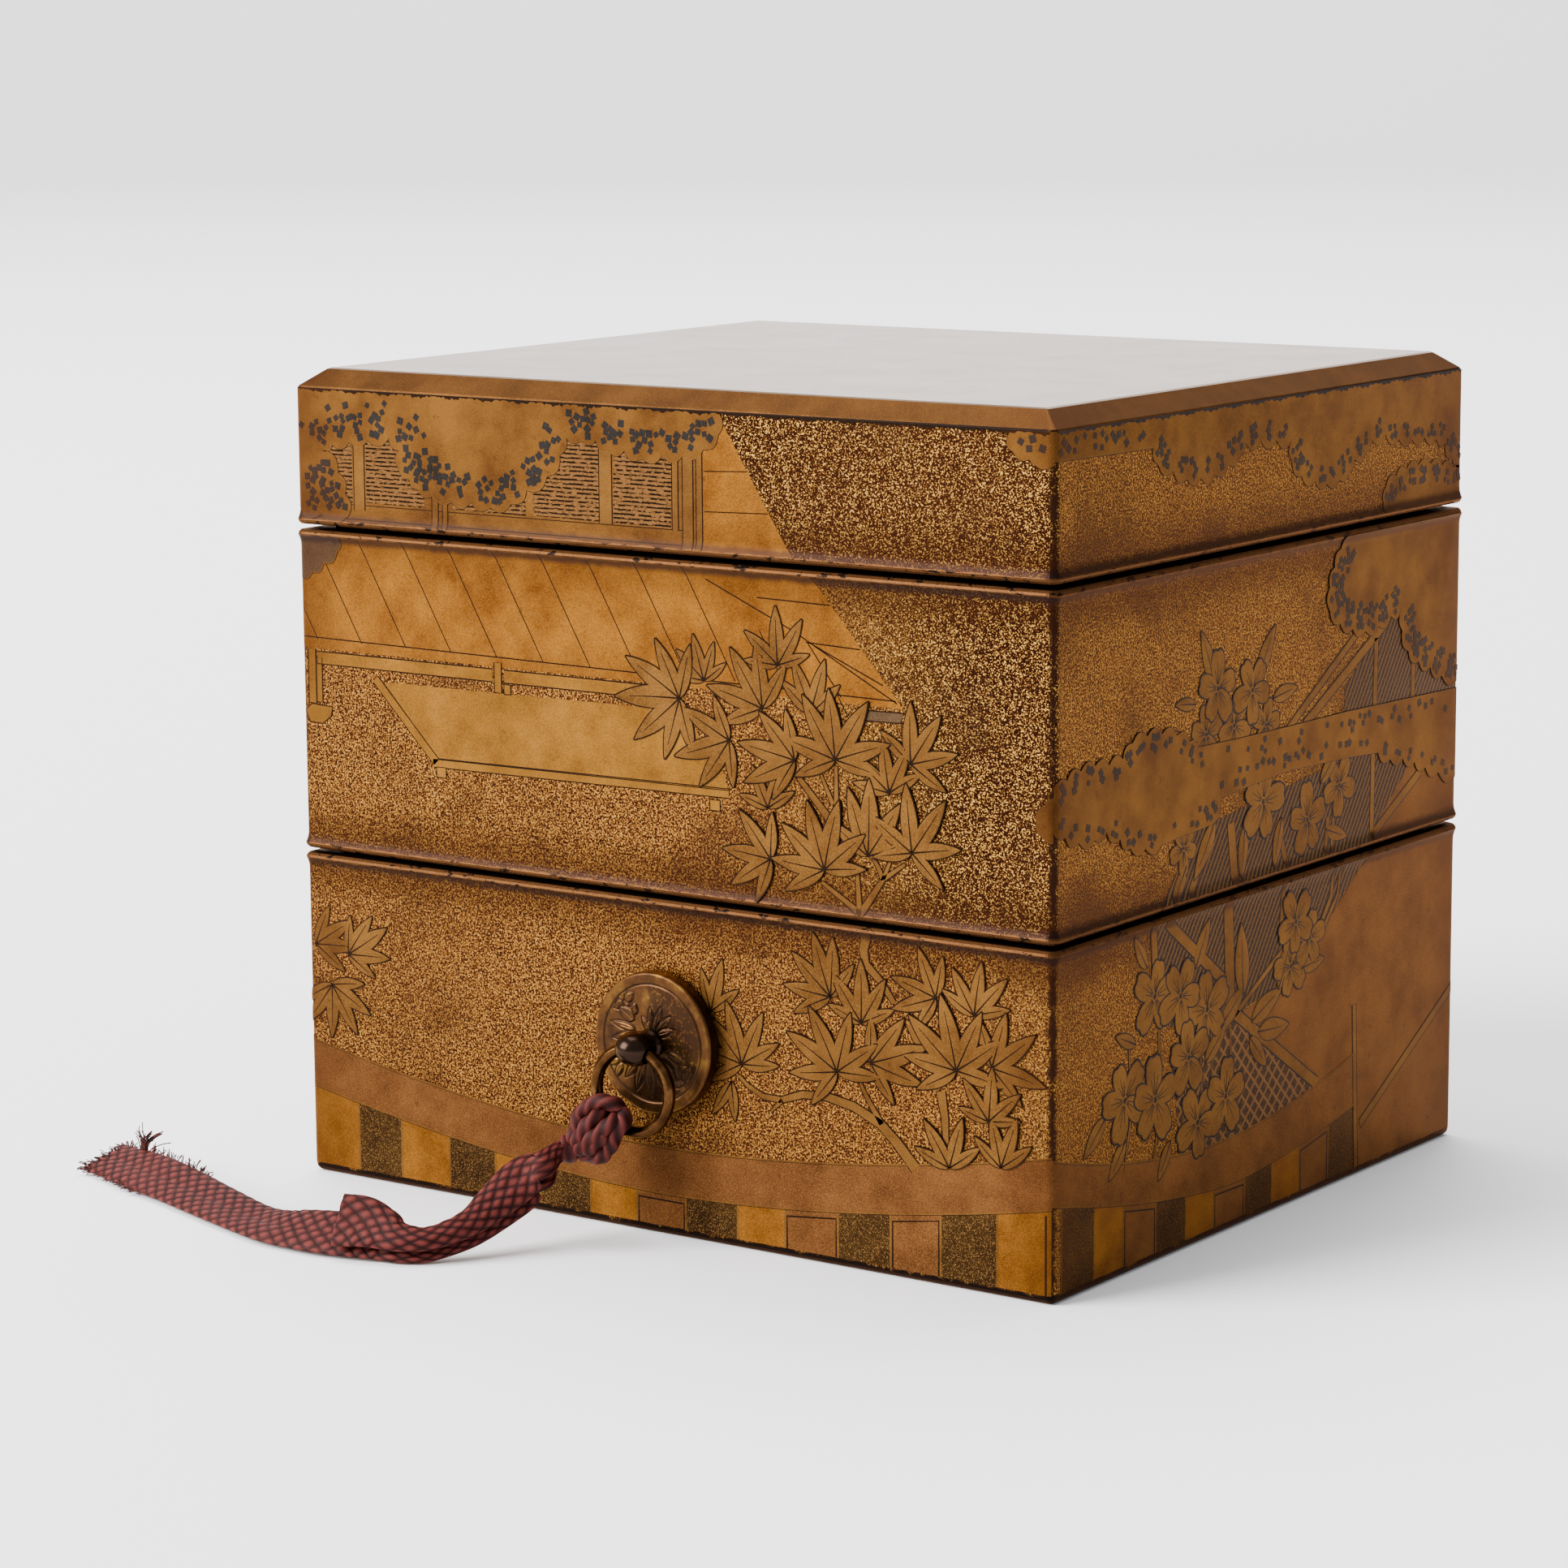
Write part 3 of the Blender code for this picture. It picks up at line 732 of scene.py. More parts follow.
@dataclass(frozen=True)
class StudioCamera:
    """The camera at the photograph's angle."""

    lens: float = 107.31
    sensor: float = 36.0
    place: Place3 = (0.35650, -0.52255, 0.16204)
    yaw: float = 0.62118
    pitch: float = 0.17221
    roll: float = -0.00726

    def build(self) -> bpy.types.Object:
        """Make the camera and set it as the scene's.

        Returns:
            The camera object.
        """
        back = Vector(
            (
                math.sin(self.yaw) * math.cos(self.pitch),
                -math.cos(self.yaw) * math.cos(self.pitch),
                math.sin(self.pitch),
            )
        )
        level = Vector((math.cos(self.yaw), math.sin(self.yaw), 0.0))
        upright = back.cross(level)
        right = level * math.cos(self.roll) + upright * math.sin(self.roll)
        up = upright * math.cos(self.roll) - level * math.sin(self.roll)
        data = bpy.data.cameras.new("photo_camera")
        data.lens = self.lens
        data.sensor_width = self.sensor
        data.clip_start = 0.01
        data.clip_end = 50.0
        camera = bpy.data.objects.new("photo_camera", data)
        bpy.context.scene.collection.objects.link(camera)
        turned = Matrix((right, up, back)).transposed().to_4x4()
        camera.matrix_world = Matrix.Translation(self.place) @ turned
        bpy.context.scene.camera = camera
        return camera


@dataclass(frozen=True)
class Studio:
    """A pale seamless floor and soft lights."""

    near: float = 4.0
    far: float = 3.2
    half_width: float = 6.0
    sweep_radius: float = 1.2
    wall_height: float = 4.0

    def floor(self) -> bpy.types.Object:
        """Make the floor with its back curved up.

        Returns:
            The floor object.
        """
        profile = [(-self.near, 0.0), (self.far, 0.0)]
        for step in range(1, 17):
            angle = math.radians(90 * step / 16)
            rise = self.sweep_radius * (1 - math.cos(angle))
            profile.append((self.far + self.sweep_radius * math.sin(angle), rise))
        profile.append((self.far + self.sweep_radius, self.wall_height))
        form = bmesh.new()
        turn = Matrix.Rotation(StudioCamera.yaw, 3, "Z")
        rows = []
        for reach, rise in profile:
            row = [Vector((side * self.half_width, reach, rise - 0.00002)) for side in (-1, 1)]
            rows.append([form.verts.new(turn @ point) for point in row])
        for lower, upper in zip(rows, rows[1:]):
            form.faces.new((lower[0], lower[1], upper[1], upper[0]))
        mesh = bpy.data.meshes.new("floor")
        form.to_mesh(mesh)
        form.free()
        mesh.shade_smooth()
        floor = new_object("floor", mesh, [Paper().build()])
        return floor

    def light(
        self, name: str, place: Point2, height: float, size: Point2, power: float, tint: Colour,
        aim: float = 0.0
    ) -> None:
        """Add a soft panel that looks at the box or at the paper behind it.

        Args:
            name: The light's name.
            place: Azimuth in degrees from the front wall's outward normal, and distance in metres.
            height: Height in metres.
            size: Width and height of the panel in metres.
            power: Power in watts.
            tint: Colour.
            aim: How far behind the box it looks, in metres.
        """
        azimuth, distance = math.radians(place[0]), place[1]
        where = Vector((math.sin(azimuth) * distance, -math.cos(azimuth) * distance, height))
        data = bpy.data.lights.new(name, "AREA")
        data.shape = "RECTANGLE"
        data.size, data.size_y = size
        data.energy = power
        data.color = tint
        lamp = bpy.data.objects.new(name, data)
        bpy.context.scene.collection.objects.link(lamp)
        lamp.location = where
        lamp.rotation_euler = (
            (where - Vector((-aim, aim * 1.4, aim * 0.4 + 0.05))).to_track_quat("Z", "Y").to_euler()
        )

    def build(self) -> None:
        """Make the floor, the world and the lights."""
        self.floor()
        world = bpy.data.worlds.new("studio")
        world.use_nodes = True
        world.node_tree.nodes["Background"].inputs[0].default_value = (0.97, 0.98, 1.0, 1.0)
        world.node_tree.nodes["Background"].inputs[1].default_value = 0.76
        bpy.context.scene.world = world
        self.light("window_left", (-38, 3.0), 1.75, (2.2, 2.0), 450.0, (1.0, 0.98, 0.96))
        self.light("overhead", (-130, 0.8), 2.6, (2.0, 2.0), 120.0, (1.0, 0.99, 0.98))
        self.light("backdrop", (200, 1.2), 2.8, (2.5, 1.2), 95.0, (1.0, 1.0, 1.0), aim=2.2)


# Silk cord


class Curl(Enum):
    """How far a flat end of the braid is rolled where it hangs in the air."""

    OUTER = 0.85
    INNER = 0.35


@dataclass(frozen=True)
class BraidEnd:
    """One flat end of the braid, from its lower edge, lean and share of its width."""

    name: str
    stations: tuple[tuple[float, float, float, float, float], ...]
    curl: Curl
    plait: tuple[float, float] = (0.00240, 0.00190)
    width: float = 0.0075
    thickness: float = 0.00125
    spacing: float = 0.00014
    across_steps: int = 54

    def middle_rows(self) -> list[tuple[float, ...]]:
        """Return rows of place, lean in radians and share of the width, as the solid has them.

        Returns:
            The rows.
        """
        rows = []
        for i, (x, y, z, lean, share) in enumerate(self.stations):
            before = Vector(self.stations[max(i - 1, 0)][:3])
            after = Vector(self.stations[min(i + 1, len(self.stations) - 1)][:3])
            along = (after - before).normalized()
            aside = Vector((along.y, -along.x, 0)).normalized()
            upward = aside.cross(along)
            angle = math.radians(lean)
            across = aside * math.cos(angle) + upward * math.sin(angle)
            facing = upward * math.cos(angle) - aside * math.sin(angle)
            edge = Vector((x, y, z))
            place = edge + across * (self.width * share / 2) + facing * (self.thickness * share / 2)
            rows.append((*place, angle, share))
        return rows

    def plait_height(self, along: np.ndarray, across: np.ndarray) -> np.ndarray:
        """Return the height of the woven surface, 0 in the gaps and 1 on the yarns.

        Args:
            along: Distance along the braid in metres.
            across: Distance from its middle in metres.

        Returns:
            The heights.
        """
        a = along / self.plait[0] + across / self.plait[1]
        b = along / self.plait[0] - across / self.plait[1]
        i, j = np.floor(a), np.floor(b)
        first, second = a - i, b - j
        over = (i + j) % 2 < 1
        side = np.where(over, first, second)
        run = np.where(over, second, first)
        round_side = np.sqrt(np.maximum(1 - (2 * side - 1) ** 2, 0.0)) ** 0.8
        return round_side * (0.45 + 0.55 * np.sin(np.pi * run))

    def frames(self) -> tuple[np.ndarray, ...]:
        """Return places, directions along, across and out of the face, and the share of the width.

        Returns:
            Five arrays.
        """
        rows = smooth_rows(self.middle_rows(), self.spacing)
        places, lean, share = rows[:, :3], rows[:, 3], rows[:, 4]
        tangent = along_path(places)
        aside = unit(np.stack([tangent[:, 1], -tangent[:, 0], np.zeros(len(rows))], axis=1))
        upward = np.cross(aside, tangent)
        across = aside * np.cos(lean)[:, None] + upward * np.sin(lean)[:, None]
        facing = upward * np.cos(lean)[:, None] - aside * np.sin(lean)[:, None]
        return places, tangent, across, facing, share

    def fringe(self, silk: bpy.types.Material) -> bpy.types.Object:
        """Make the loose filaments of the frayed tip.

        Args:
            silk: Their material.

        Returns:
            The fringe.
        """
        random = np.random.RandomState(8)
        places, tangent, across, facing, share = self.frames()
        seeds, turns, reaches = [], [], []
        # Count, rows back from the tip, side, way along, across and up, and length in millimetres
        bunches = (
            (150, (0, 8), (-1, 1), (1.0, 0.6, 0.35), (0.6, 1.7)),
            (34, (28, 38), (0.88, 1.0), (-0.2, 0.3, 1.2), (1.6, 3.6)),
            (90, (0, 160), (0.9, 1.02), (0.3, 0.9, 0.5), (0.4, 1.2)),
            (50, (0, 120), (-1.02, -0.9), (0.5, -0.9, 0.3), (0.3, 0.9)),
        )
        for count, back, sides, way, reach in bunches:
            for _ in range(count):
                i = len(places) - 1 - random.randint(*back)
                q = random.uniform(*sides)
                spread = random.normal(0, 0.36, 3)
                heading = (
                    tangent[i] * way[0] + across[i] * (way[1] * (q if back[1] == 8 else 1)) + (0, 0, way[2])
                )
                heading = heading + spread
                heading[2] = max(heading[2], 0.05)
                root = places[i] + across[i] * (self.width * share[i] / 2 * q)
                seeds.append(root + facing[i] * random.uniform(-4e-4, 4e-4))
                turns.append(tuple(Vector(heading).to_track_quat("Z", "Y").to_euler()))
                reaches.append(random.uniform(*reach) * MM)
        number = "NodeSocketFloat"
        tree = GeometryTree(
            "fringe", (("Radius", number), ("Curl", number), ("Material", "NodeSocketMaterial"))
        )
        handles = {
            "Start Handle": (0.0, 0.12, 0.35), "End Handle": (0.18, 0.1, 0.7), "End": (0.32, -0.08, 1.0)
        }
        hair = tree.add(
            "GeometryNodeCurvePrimitiveBezierSegment", {"Resolution": 7, "Start": (0, 0, 0), **handles}
        ).outputs[0]
        reach = tree.add(
            "GeometryNodeInputNamedAttribute", {"Name": "reach"}, data_type="FLOAT"
        ).outputs["Attribute"]
        hairs = {
            "Points": tree.start["Geometry"], "Instance": hair, "Rotation": tree.turned(), "Scale": reach
        }
        laid = tree.add("GeometryNodeInstanceOnPoints", hairs).outputs[0]
        loose = tree.add("GeometryNodeRealizeInstances", {0: laid}).outputs[0]
        wave = tree.add("ShaderNodeTexNoise", {"Scale": 900.0, "Detail": 1.0}).outputs["Color"]
        middle = tree.add(
            "ShaderNodeVectorMath", {0: wave, 1: (0.5, 0.5, 0.5)}, operation="SUBTRACT"
        ).outputs[0]
        factor = tree.add("GeometryNodeSplineParameter").outputs["Factor"]
        bend = tree.add("ShaderNodeMath", {0: factor, 1: tree.start["Curl"]}, operation="MULTIPLY").outputs[0]
        moved = tree.add("ShaderNodeVectorMath", {0: middle, "Scale": bend}, operation="SCALE").outputs[0]
        bent = tree.add("GeometryNodeSetPosition", {0: loose, "Offset": moved}).outputs[0]
        ring = tree.add("GeometryNodeCurvePrimitiveCircle", {"Resolution": 4, "Radius": tree.start["Radius"]})
        tube = tree.add("GeometryNodeCurveToMesh", {0: bent, 1: ring.outputs[0], "Fill Caps": True})
        tree.close(tube.outputs[0])
        mesh = points_mesh("fringe_seeds", seeds, turns)
        mesh.attributes.new("reach", "FLOAT", "POINT").data.foreach_set(
            "value", np.array(reaches, np.float32)
        )
        piece = tree.apply("cord_fringe", mesh, {"Radius": 0.00008, "Curl": 0.0012, "Material": silk})
        for vertex in piece.data.vertices:
            vertex.co.z = max(vertex.co.z, 0.00006)
        return piece

    def build(self, silk: bpy.types.Material) -> tuple[bpy.types.Object, np.ndarray]:
        """Make the braid.

        Args:
            silk: Its material.

        Returns:
            The piece and the points of its middle line.
        """
        places, tangent, across, facing, share = self.frames()
        steps = np.concatenate([[0.0], np.cumsum(np.linalg.norm(np.diff(places, axis=0), axis=1))])
        q = np.sin(np.linspace(-np.pi / 2, np.pi / 2, self.across_steps + 1))
        q = 0.5 * q + 0.5 * np.linspace(-1, 1, self.across_steps + 1)
        q = np.concatenate([q, q[-2:0:-1]])
        side = np.concatenate([np.ones(self.across_steps + 1), -np.ones(self.across_steps - 1)])
        roll = np.clip((1 - share) * 2.6 * self.curl.value, 0.001, 1.9)[:, None]
        chord = (self.width * share / 2)[:, None]
        local_across = chord * np.sin(roll * q) / np.sin(roll)
        bulge = chord / np.sin(roll) * (np.cos(roll * q) - np.cos(roll))
        bulge = bulge - 0.30 * bulge.max(axis=1, keepdims=True)
        profile = np.sqrt(np.maximum(1 - np.abs(q) ** 5, 0.0))
        relief = self.plait_height(steps[:, None] + 0 * q, (q * self.width / 2)[None, :] + 0 * steps[:, None])
        fold = 1.0 - 0.35 * np.exp(-((q * self.width / 2 / 0.0007) ** 2))
        thick = self.thickness / 2 * (0.35 + 0.65 * share[:, None]) * profile * (0.52 + 0.48 * relief) * fold
        normal = (
            facing[:, None, :] * np.cos(roll * q)[..., None]
            + across[:, None, :] * np.sin(roll * q)[..., None]
        )
        points = (
            places[:, None, :]
            + across[:, None, :] * local_across[..., None]
            + facing[:, None, :] * bulge[..., None]
            + normal * (thick * side)[..., None]
        )
        points[..., 2] = np.maximum(points[..., 2], 0.00012)
        uv = np.stack([steps[:, None] + 0 * q, (q * self.width / 2) + 0 * steps[:, None]], axis=-1) * 100
        # The plait height goes to the silk as depth, for painted shade in the gaps between the yarns
        mesh = shell_mesh(self.name, points, uv=uv, attributes={"depth": relief * np.ones_like(thick)})
        return new_object(self.name, mesh, [silk]), places


@dataclass(frozen=True)
class KnotStrand:
    """One plump strand of the knot, twisted from silk filaments."""

    places: tuple[Place3, ...]
    radius: float = 0.0011
    sides: int = 24
    spacing: float = 0.00012

    def points(self) -> tuple[np.ndarray, np.ndarray, np.ndarray]:
        """Return the grid of points, its map and its depth.

        Returns:
            Arrays with rows along the strand.
        """
        line = smooth_rows(self.places, self.spacing)
        tangent = along_path(line)
        normal = np.zeros_like(line)
        normal[0] = unit(np.cross(tangent[0], (0.31, 0.77, 0.55)))
        for i in range(1, len(line)):
            turned = normal[i - 1] - tangent[i] * np.dot(normal[i - 1], tangent[i])
            normal[i] = unit(turned)
        other = np.cross(tangent, normal)
        angle = np.linspace(0, 2 * np.pi, self.sides, endpoint=False)
        run = np.arange(len(line)) * self.spacing
        twist = angle[None, :] * 3 + run[:, None] * 2 * np.pi / 0.0062 * 3
        lobes = 0.5 + 0.5 * np.cos(twist)
        wave = 1 + 0.05 * np.sin(run * 2 * np.pi / 0.0031)[:, None]
        end = np.minimum(np.minimum(run, run[-1] - run) / 0.0009, 1.0)[:, None]
        size = self.radius * (0.84 + 0.16 * lobes) * wave * np.sqrt(np.maximum(1 - (1 - end) ** 2, 0.02))
        points = line[:, None, :] + (
            normal[:, None, :] * np.cos(angle)[None, :, None]
            + other[:, None, :] * np.sin(angle)[None, :, None]
        ) * size[..., None]
        spread = np.abs(np.linspace(-1, 1, self.sides))[None, :] * 0.35 + run[:, None] * 12
        uv = np.stack([run[:, None] * 100 + 0 * angle, spread], axis=-1)
        # The depth is painted shade in the grooves between the twisted lobes
        return points, uv, 0.34 + 0.50 * lobes


@dataclass(frozen=True)
class SilkCord:
    """The silk cord: a knot on the ring and two flat ends."""

    strands: tuple[KnotStrand, ...]
    long_end: BraidEnd
    short_end: BraidEnd
    length: float = 0.0940

    def knot(self, silk: bpy.types.Material) -> bpy.types.Object:
        """Make the knot as one piece of several strands.

        Args:
            silk: Its material.

        Returns:
            The knot.
        """
        joined = bmesh.new()
        joined.loops.layers.uv.new("yarn")
        joined.verts.layers.float.new("depth")
        for i, strand in enumerate(self.strands):
            points, uv, depth = strand.points()
            mesh = shell_mesh(f"strand_{i}", points, uv=uv, attributes={"depth": depth})
            joined.from_mesh(mesh)
            bpy.data.meshes.remove(mesh)
        mesh = bpy.data.meshes.new("knot")
        joined.to_mesh(mesh)
        joined.free()
        mesh.shade_smooth()
        return new_object("knot", mesh, [silk])

    def build(self) -> None:
        silk = Silk("silk_braid").build()
        long_piece, path = self.long_end.build(silk)
        short_piece, _ = self.short_end.build(silk)
        knot = self.knot(silk)
        pairs = ((long_piece, "cord_long_tail"), (short_piece, "cord_short_tail"), (knot, "cord_knot"))
        for piece, node in pairs:
            dress(piece, node)
        fringe = self.long_end.fringe(Filament("silk_filament").build())
        dress(fringe)
        LOG.info("silk cord: %d rows along the long end", len(path))


LONG_END = (
    (-0.0082, -0.0620, 0.0110, 32, 0.22), (-0.0085, -0.0631, 0.0102, 32, 0.26),
    (-0.0080, -0.0645, 0.0085, 35, 0.52), (-0.0080, -0.0657, 0.0070, 38, 0.74),
    (-0.0091, -0.0680, 0.0052, 40, 0.80), (-0.0110, -0.0716, 0.0031, 40, 0.66),
    (-0.0125, -0.0746, 0.0017, 40, 0.50), (-0.0139, -0.0774, 0.0009, 40, 0.44),
    (-0.0156, -0.0799, 0.0003, 38, 0.43), (-0.0172, -0.0816, 0.0001, 37, 0.48),
    (-0.0195, -0.0830, 0.0001, 36, 0.62), (-0.0219, -0.0837, 0.0001, 35, 0.82),
    (-0.0246, -0.0844, 0.0001, 33, 0.95), (-0.0275, -0.0852, 0.0001, 31, 1.00),
    (-0.0319, -0.0859, 0.0001, 30, 1.00), (-0.0366, -0.0860, 0.0001, 25, 1.00),
    (-0.0408, -0.0857, 0.0001, 19, 1.00), (-0.0477, -0.0838, 0.0001, 11, 1.00),
    (-0.0569, -0.0808, 0.0001, 15, 1.00), (-0.0645, -0.0782, 0.0001, 20, 1.00),
    (-0.0711, -0.0762, 0.0001, 24, 1.00), (-0.0770, -0.0742, 0.0001, 22, 1.00),
    (-0.0842, -0.0718, 0.0001, 18, 0.95),
)
SHORT_END = (
    (-0.0080, -0.0624, 0.0122, 32, 0.20), (-0.0082, -0.0636, 0.0116, 32, 0.26),
    (-0.0078, -0.0648, 0.0102, 35, 0.50), (-0.0078, -0.0660, 0.0088, 38, 0.74),
    (-0.0088, -0.0683, 0.0070, 40, 0.80), (-0.0107, -0.0718, 0.0049, 40, 0.66),
    (-0.0122, -0.0748, 0.0035, 40, 0.50), (-0.0136, -0.0777, 0.0027, 40, 0.44),
    (-0.0153, -0.0803, 0.0021, 38, 0.43), (-0.0170, -0.0820, 0.0019, 37, 0.48),
    (-0.0194, -0.0835, 0.0018, 37, 0.62), (-0.0219, -0.0843, 0.0018, 39, 0.84),
    (-0.0246, -0.0850, 0.0017, 44, 1.00), (-0.0276, -0.0858, 0.0016, 48, 1.00),
)
KNOT_STRANDS = (
    (
        (-0.0077, -0.0617, 0.0131), (-0.0069, -0.0616, 0.0145), (-0.0066, -0.0614, 0.0159),
        (-0.0062, -0.0612, 0.0173), (-0.0049, -0.0612, 0.0183), (-0.0034, -0.0612, 0.0191),
        (-0.0020, -0.0610, 0.0192), (-0.0012, -0.0604, 0.0188), (-0.0007, -0.0600, 0.0181),
        (-0.0000, -0.0602, 0.0174), (0.0001, -0.0606, 0.0165), (-0.0005, -0.0610, 0.0156),
        (-0.0011, -0.0612, 0.0146), (-0.0018, -0.0611, 0.0132), (-0.0032, -0.0610, 0.0119),
        (-0.0045, -0.0609, 0.0117), (-0.0058, -0.0610, 0.0118), (-0.0068, -0.0613, 0.0119),
    ),
    (
        (-0.0067, -0.0619, 0.0129), (-0.0054, -0.0623, 0.0146), (-0.0044, -0.0622, 0.0160),
        (-0.0034, -0.0616, 0.0172), (-0.0034, -0.0600, 0.0178), (-0.0048, -0.0582, 0.0177),
        (-0.0068, -0.0568, 0.0175), (-0.0085, -0.0566, 0.0169), (-0.0089, -0.0576, 0.0161),
        (-0.0081, -0.0594, 0.0155), (-0.0073, -0.0606, 0.0144),
    ),
    (
        (-0.0064, -0.0619, 0.0122), (-0.0046, -0.0623, 0.0137), (-0.0026, -0.0623, 0.0152),
        (-0.0012, -0.0616, 0.0165), (-0.0008, -0.0602, 0.0173), (-0.0015, -0.0584, 0.0169),
        (-0.0026, -0.0570, 0.0156), (-0.0037, -0.0568, 0.0141), (-0.0041, -0.0576, 0.0130),
        (-0.0038, -0.0592, 0.0122), (-0.0045, -0.0604, 0.0117), (-0.0057, -0.0610, 0.0118),
    ),
    (
        (-0.0051, -0.0617, 0.0124), (-0.0035, -0.0621, 0.0137), (-0.0023, -0.0620, 0.0148),
        (-0.0018, -0.0617, 0.0158),
    ),
)
NECK_LINE = (
    (-0.0076, -0.0606, 0.0128), (-0.0086, -0.0616, 0.0119), (-0.0092, -0.0624, 0.0111),
)


def make_cord() -> SilkCord:
    """Return the cord with its sizes."""
    strands = tuple(KnotStrand(places) for places in KNOT_STRANDS)
    return SilkCord(
        strands=strands + (KnotStrand(NECK_LINE, radius=0.0019),),
        long_end=BraidEnd("cord_long_end", LONG_END, Curl.INNER),
        short_end=BraidEnd("cord_short_end", SHORT_END, Curl.OUTER),
    )


# Ring fitting


@dataclass(frozen=True)
class RingFitting:
    """The engraved plate, the pierced stud and the ring on the front of the lower tray."""

    plate_centre: Place3 = (0.0004, -0.05235, 0.0260)
    plate_radius: float = 0.0093
    plate_thickness: float = 0.0023
    plate_gap: float = 0.0003
    plate_dome: float = 0.0003
    plate_edge: float = 0.0004
    band_width: float = 0.00155
    head_width: float = 0.0053
    head_height: float = 0.0046
    head_standout: float = 0.0057
    head_start: float = -48.0
    ring_radius: float = 0.0055
    wire_radius: float = 0.0008
    ring_side: float = -0.0003
    ring_standout: float = 0.0003
    ring_turn: float = math.radians(5)
    eye_clearance: float = 0.0005

    def engraving(self, x: np.ndarray, z: np.ndarray) -> tuple[np.ndarray, np.ndarray]:
        """Return the relief in metres and the dark hollows from 0 to 1.

        Args:
            x: Distance right of the plate's middle, in millimetres.
            z: Distance above it, in millimetres.

        Returns:
            The relief and the hollows.
        """
        height = np.zeros_like(x)
        hollow = np.zeros_like(x)
        for cx, cz, angle, length, width in PLATE_LEAVES:
            turn = math.radians(angle)
            run = (x - cx) * math.cos(turn) + (z - cz) * math.sin(turn)
            side = -(x - cx) * math.sin(turn) + (z - cz) * math.cos(turn)
            share = np.clip(run / length, 0.0, 1.0)
            half = width / 2 * np.sin(np.pi * share**0.75) ** 0.8
            inside = (run > 0) & (run < length)
            reach = np.where(inside, half - np.abs(side), -np.hypot(side, run - length * (share > 0.5)))
            height = np.where(reach > 0, np.maximum(height * 0.2, np.minimum(reach / 0.35, 1.0)), height)
            line = np.exp(-((reach / 0.11) ** 2))
            vein = np.exp(-((side / 0.06) ** 2)) * (reach > 0.12)
            hollow = np.maximum(np.where(reach > 0.2, hollow * 0.2, hollow), np.maximum(line, 0.8 * vein))
        return (height * 0.00016 - hollow * 0.00010), np.clip(hollow, 0.0, 1.0)

    def plate(self, metal: bpy.types.Material) -> bpy.types.Object:
        """Make the engraved plate.

        Args:
            metal: Its material.

        Returns:
            The plate.
        """
        around = 420
        field_radius = self.plate_radius - self.band_width
        inner = np.arange(0.0009, field_radius - 0.00012, 0.0001)
        rows: list[Place3] = [(0.0009, self.plate_gap, 0.0)]
        for radius in inner:
            rows.append(
                (radius, self.plate_thickness + self.plate_dome * (1 - (radius / field_radius) ** 2), 1.0)
            )
        rows += [
            (field_radius - 0.00008, self.plate_thickness - 0.00012, 0.0),
            (field_radius + 0.00004, self.plate_thickness - 0.00010, 0.0),
            (field_radius + 0.00014, self.plate_thickness, 0.0),
        ]
        for radius in np.linspace(field_radius + 0.0003, self.plate_radius - self.plate_edge, 8):
            rows.append((radius, self.plate_thickness, 0.0))
        for step in range(1, 7):
            angle = math.radians(90 * step / 6)
            rows.append(
                (
                    self.plate_radius - self.plate_edge * (1 - math.sin(angle)),
                    self.plate_thickness - self.plate_edge * (1 - math.cos(angle)),
                    0.0,
                )
            )
        rows.append((self.plate_radius, self.plate_gap + 0.0002, 0.0))
        rows.append((self.plate_radius - 0.0002, self.plate_gap, 0.0))
        profile = np.array(rows)
        angle = np.linspace(0, 2 * np.pi, around, endpoint=False)
        x = profile[:, :1] * np.cos(angle)
        z = profile[:, :1] * np.sin(angle)
        relief, hollow = self.engraving(x * 1000, z * 1000)
        field = profile[:, 2:3]
        edge_line = np.exp(-(((profile[:, :1] - field_radius) / 0.00013) ** 2)) * (profile[:, 1:2] > 0.001)
        uneven = 0.00003 * np.sin(angle * 7 + 1.0) * np.sin(angle * 3)
        standout = profile[:, 1:2] + relief * field + uneven * (profile[:, 1:2] > 0.001)
        points = np.stack([x, -standout, z], axis=-1) + np.array(self.plate_centre)
        dark = np.clip(hollow * field + edge_line, 0.0, 1.0)
        side_wall = (profile[:, 1:2] < self.plate_thickness - self.plate_edge * 0.9) & (field < 0.5)
        dark = np.maximum(dark, np.where(side_wall, 0.75, 0.0))
        mesh = shell_mesh("plate", points, closed_rows=True, attributes={"hollow": dark})
        piece = new_object("engraved_plate", mesh, [metal])
        dress(piece, "fitting_plate")
        return piece

    def ring_centre(self) -> np.ndarray:
        """Return the middle of the ring, in metres.

        Returns:
            The place.
        """
        back = self.plate_thickness + self.plate_dome + self.plate_gap
        standout = back + self.head_standout / 2 + self.ring_standout
        x, y, z = self.plate_centre
        return np.array((x + self.ring_side, y - standout, z - self.ring_radius))

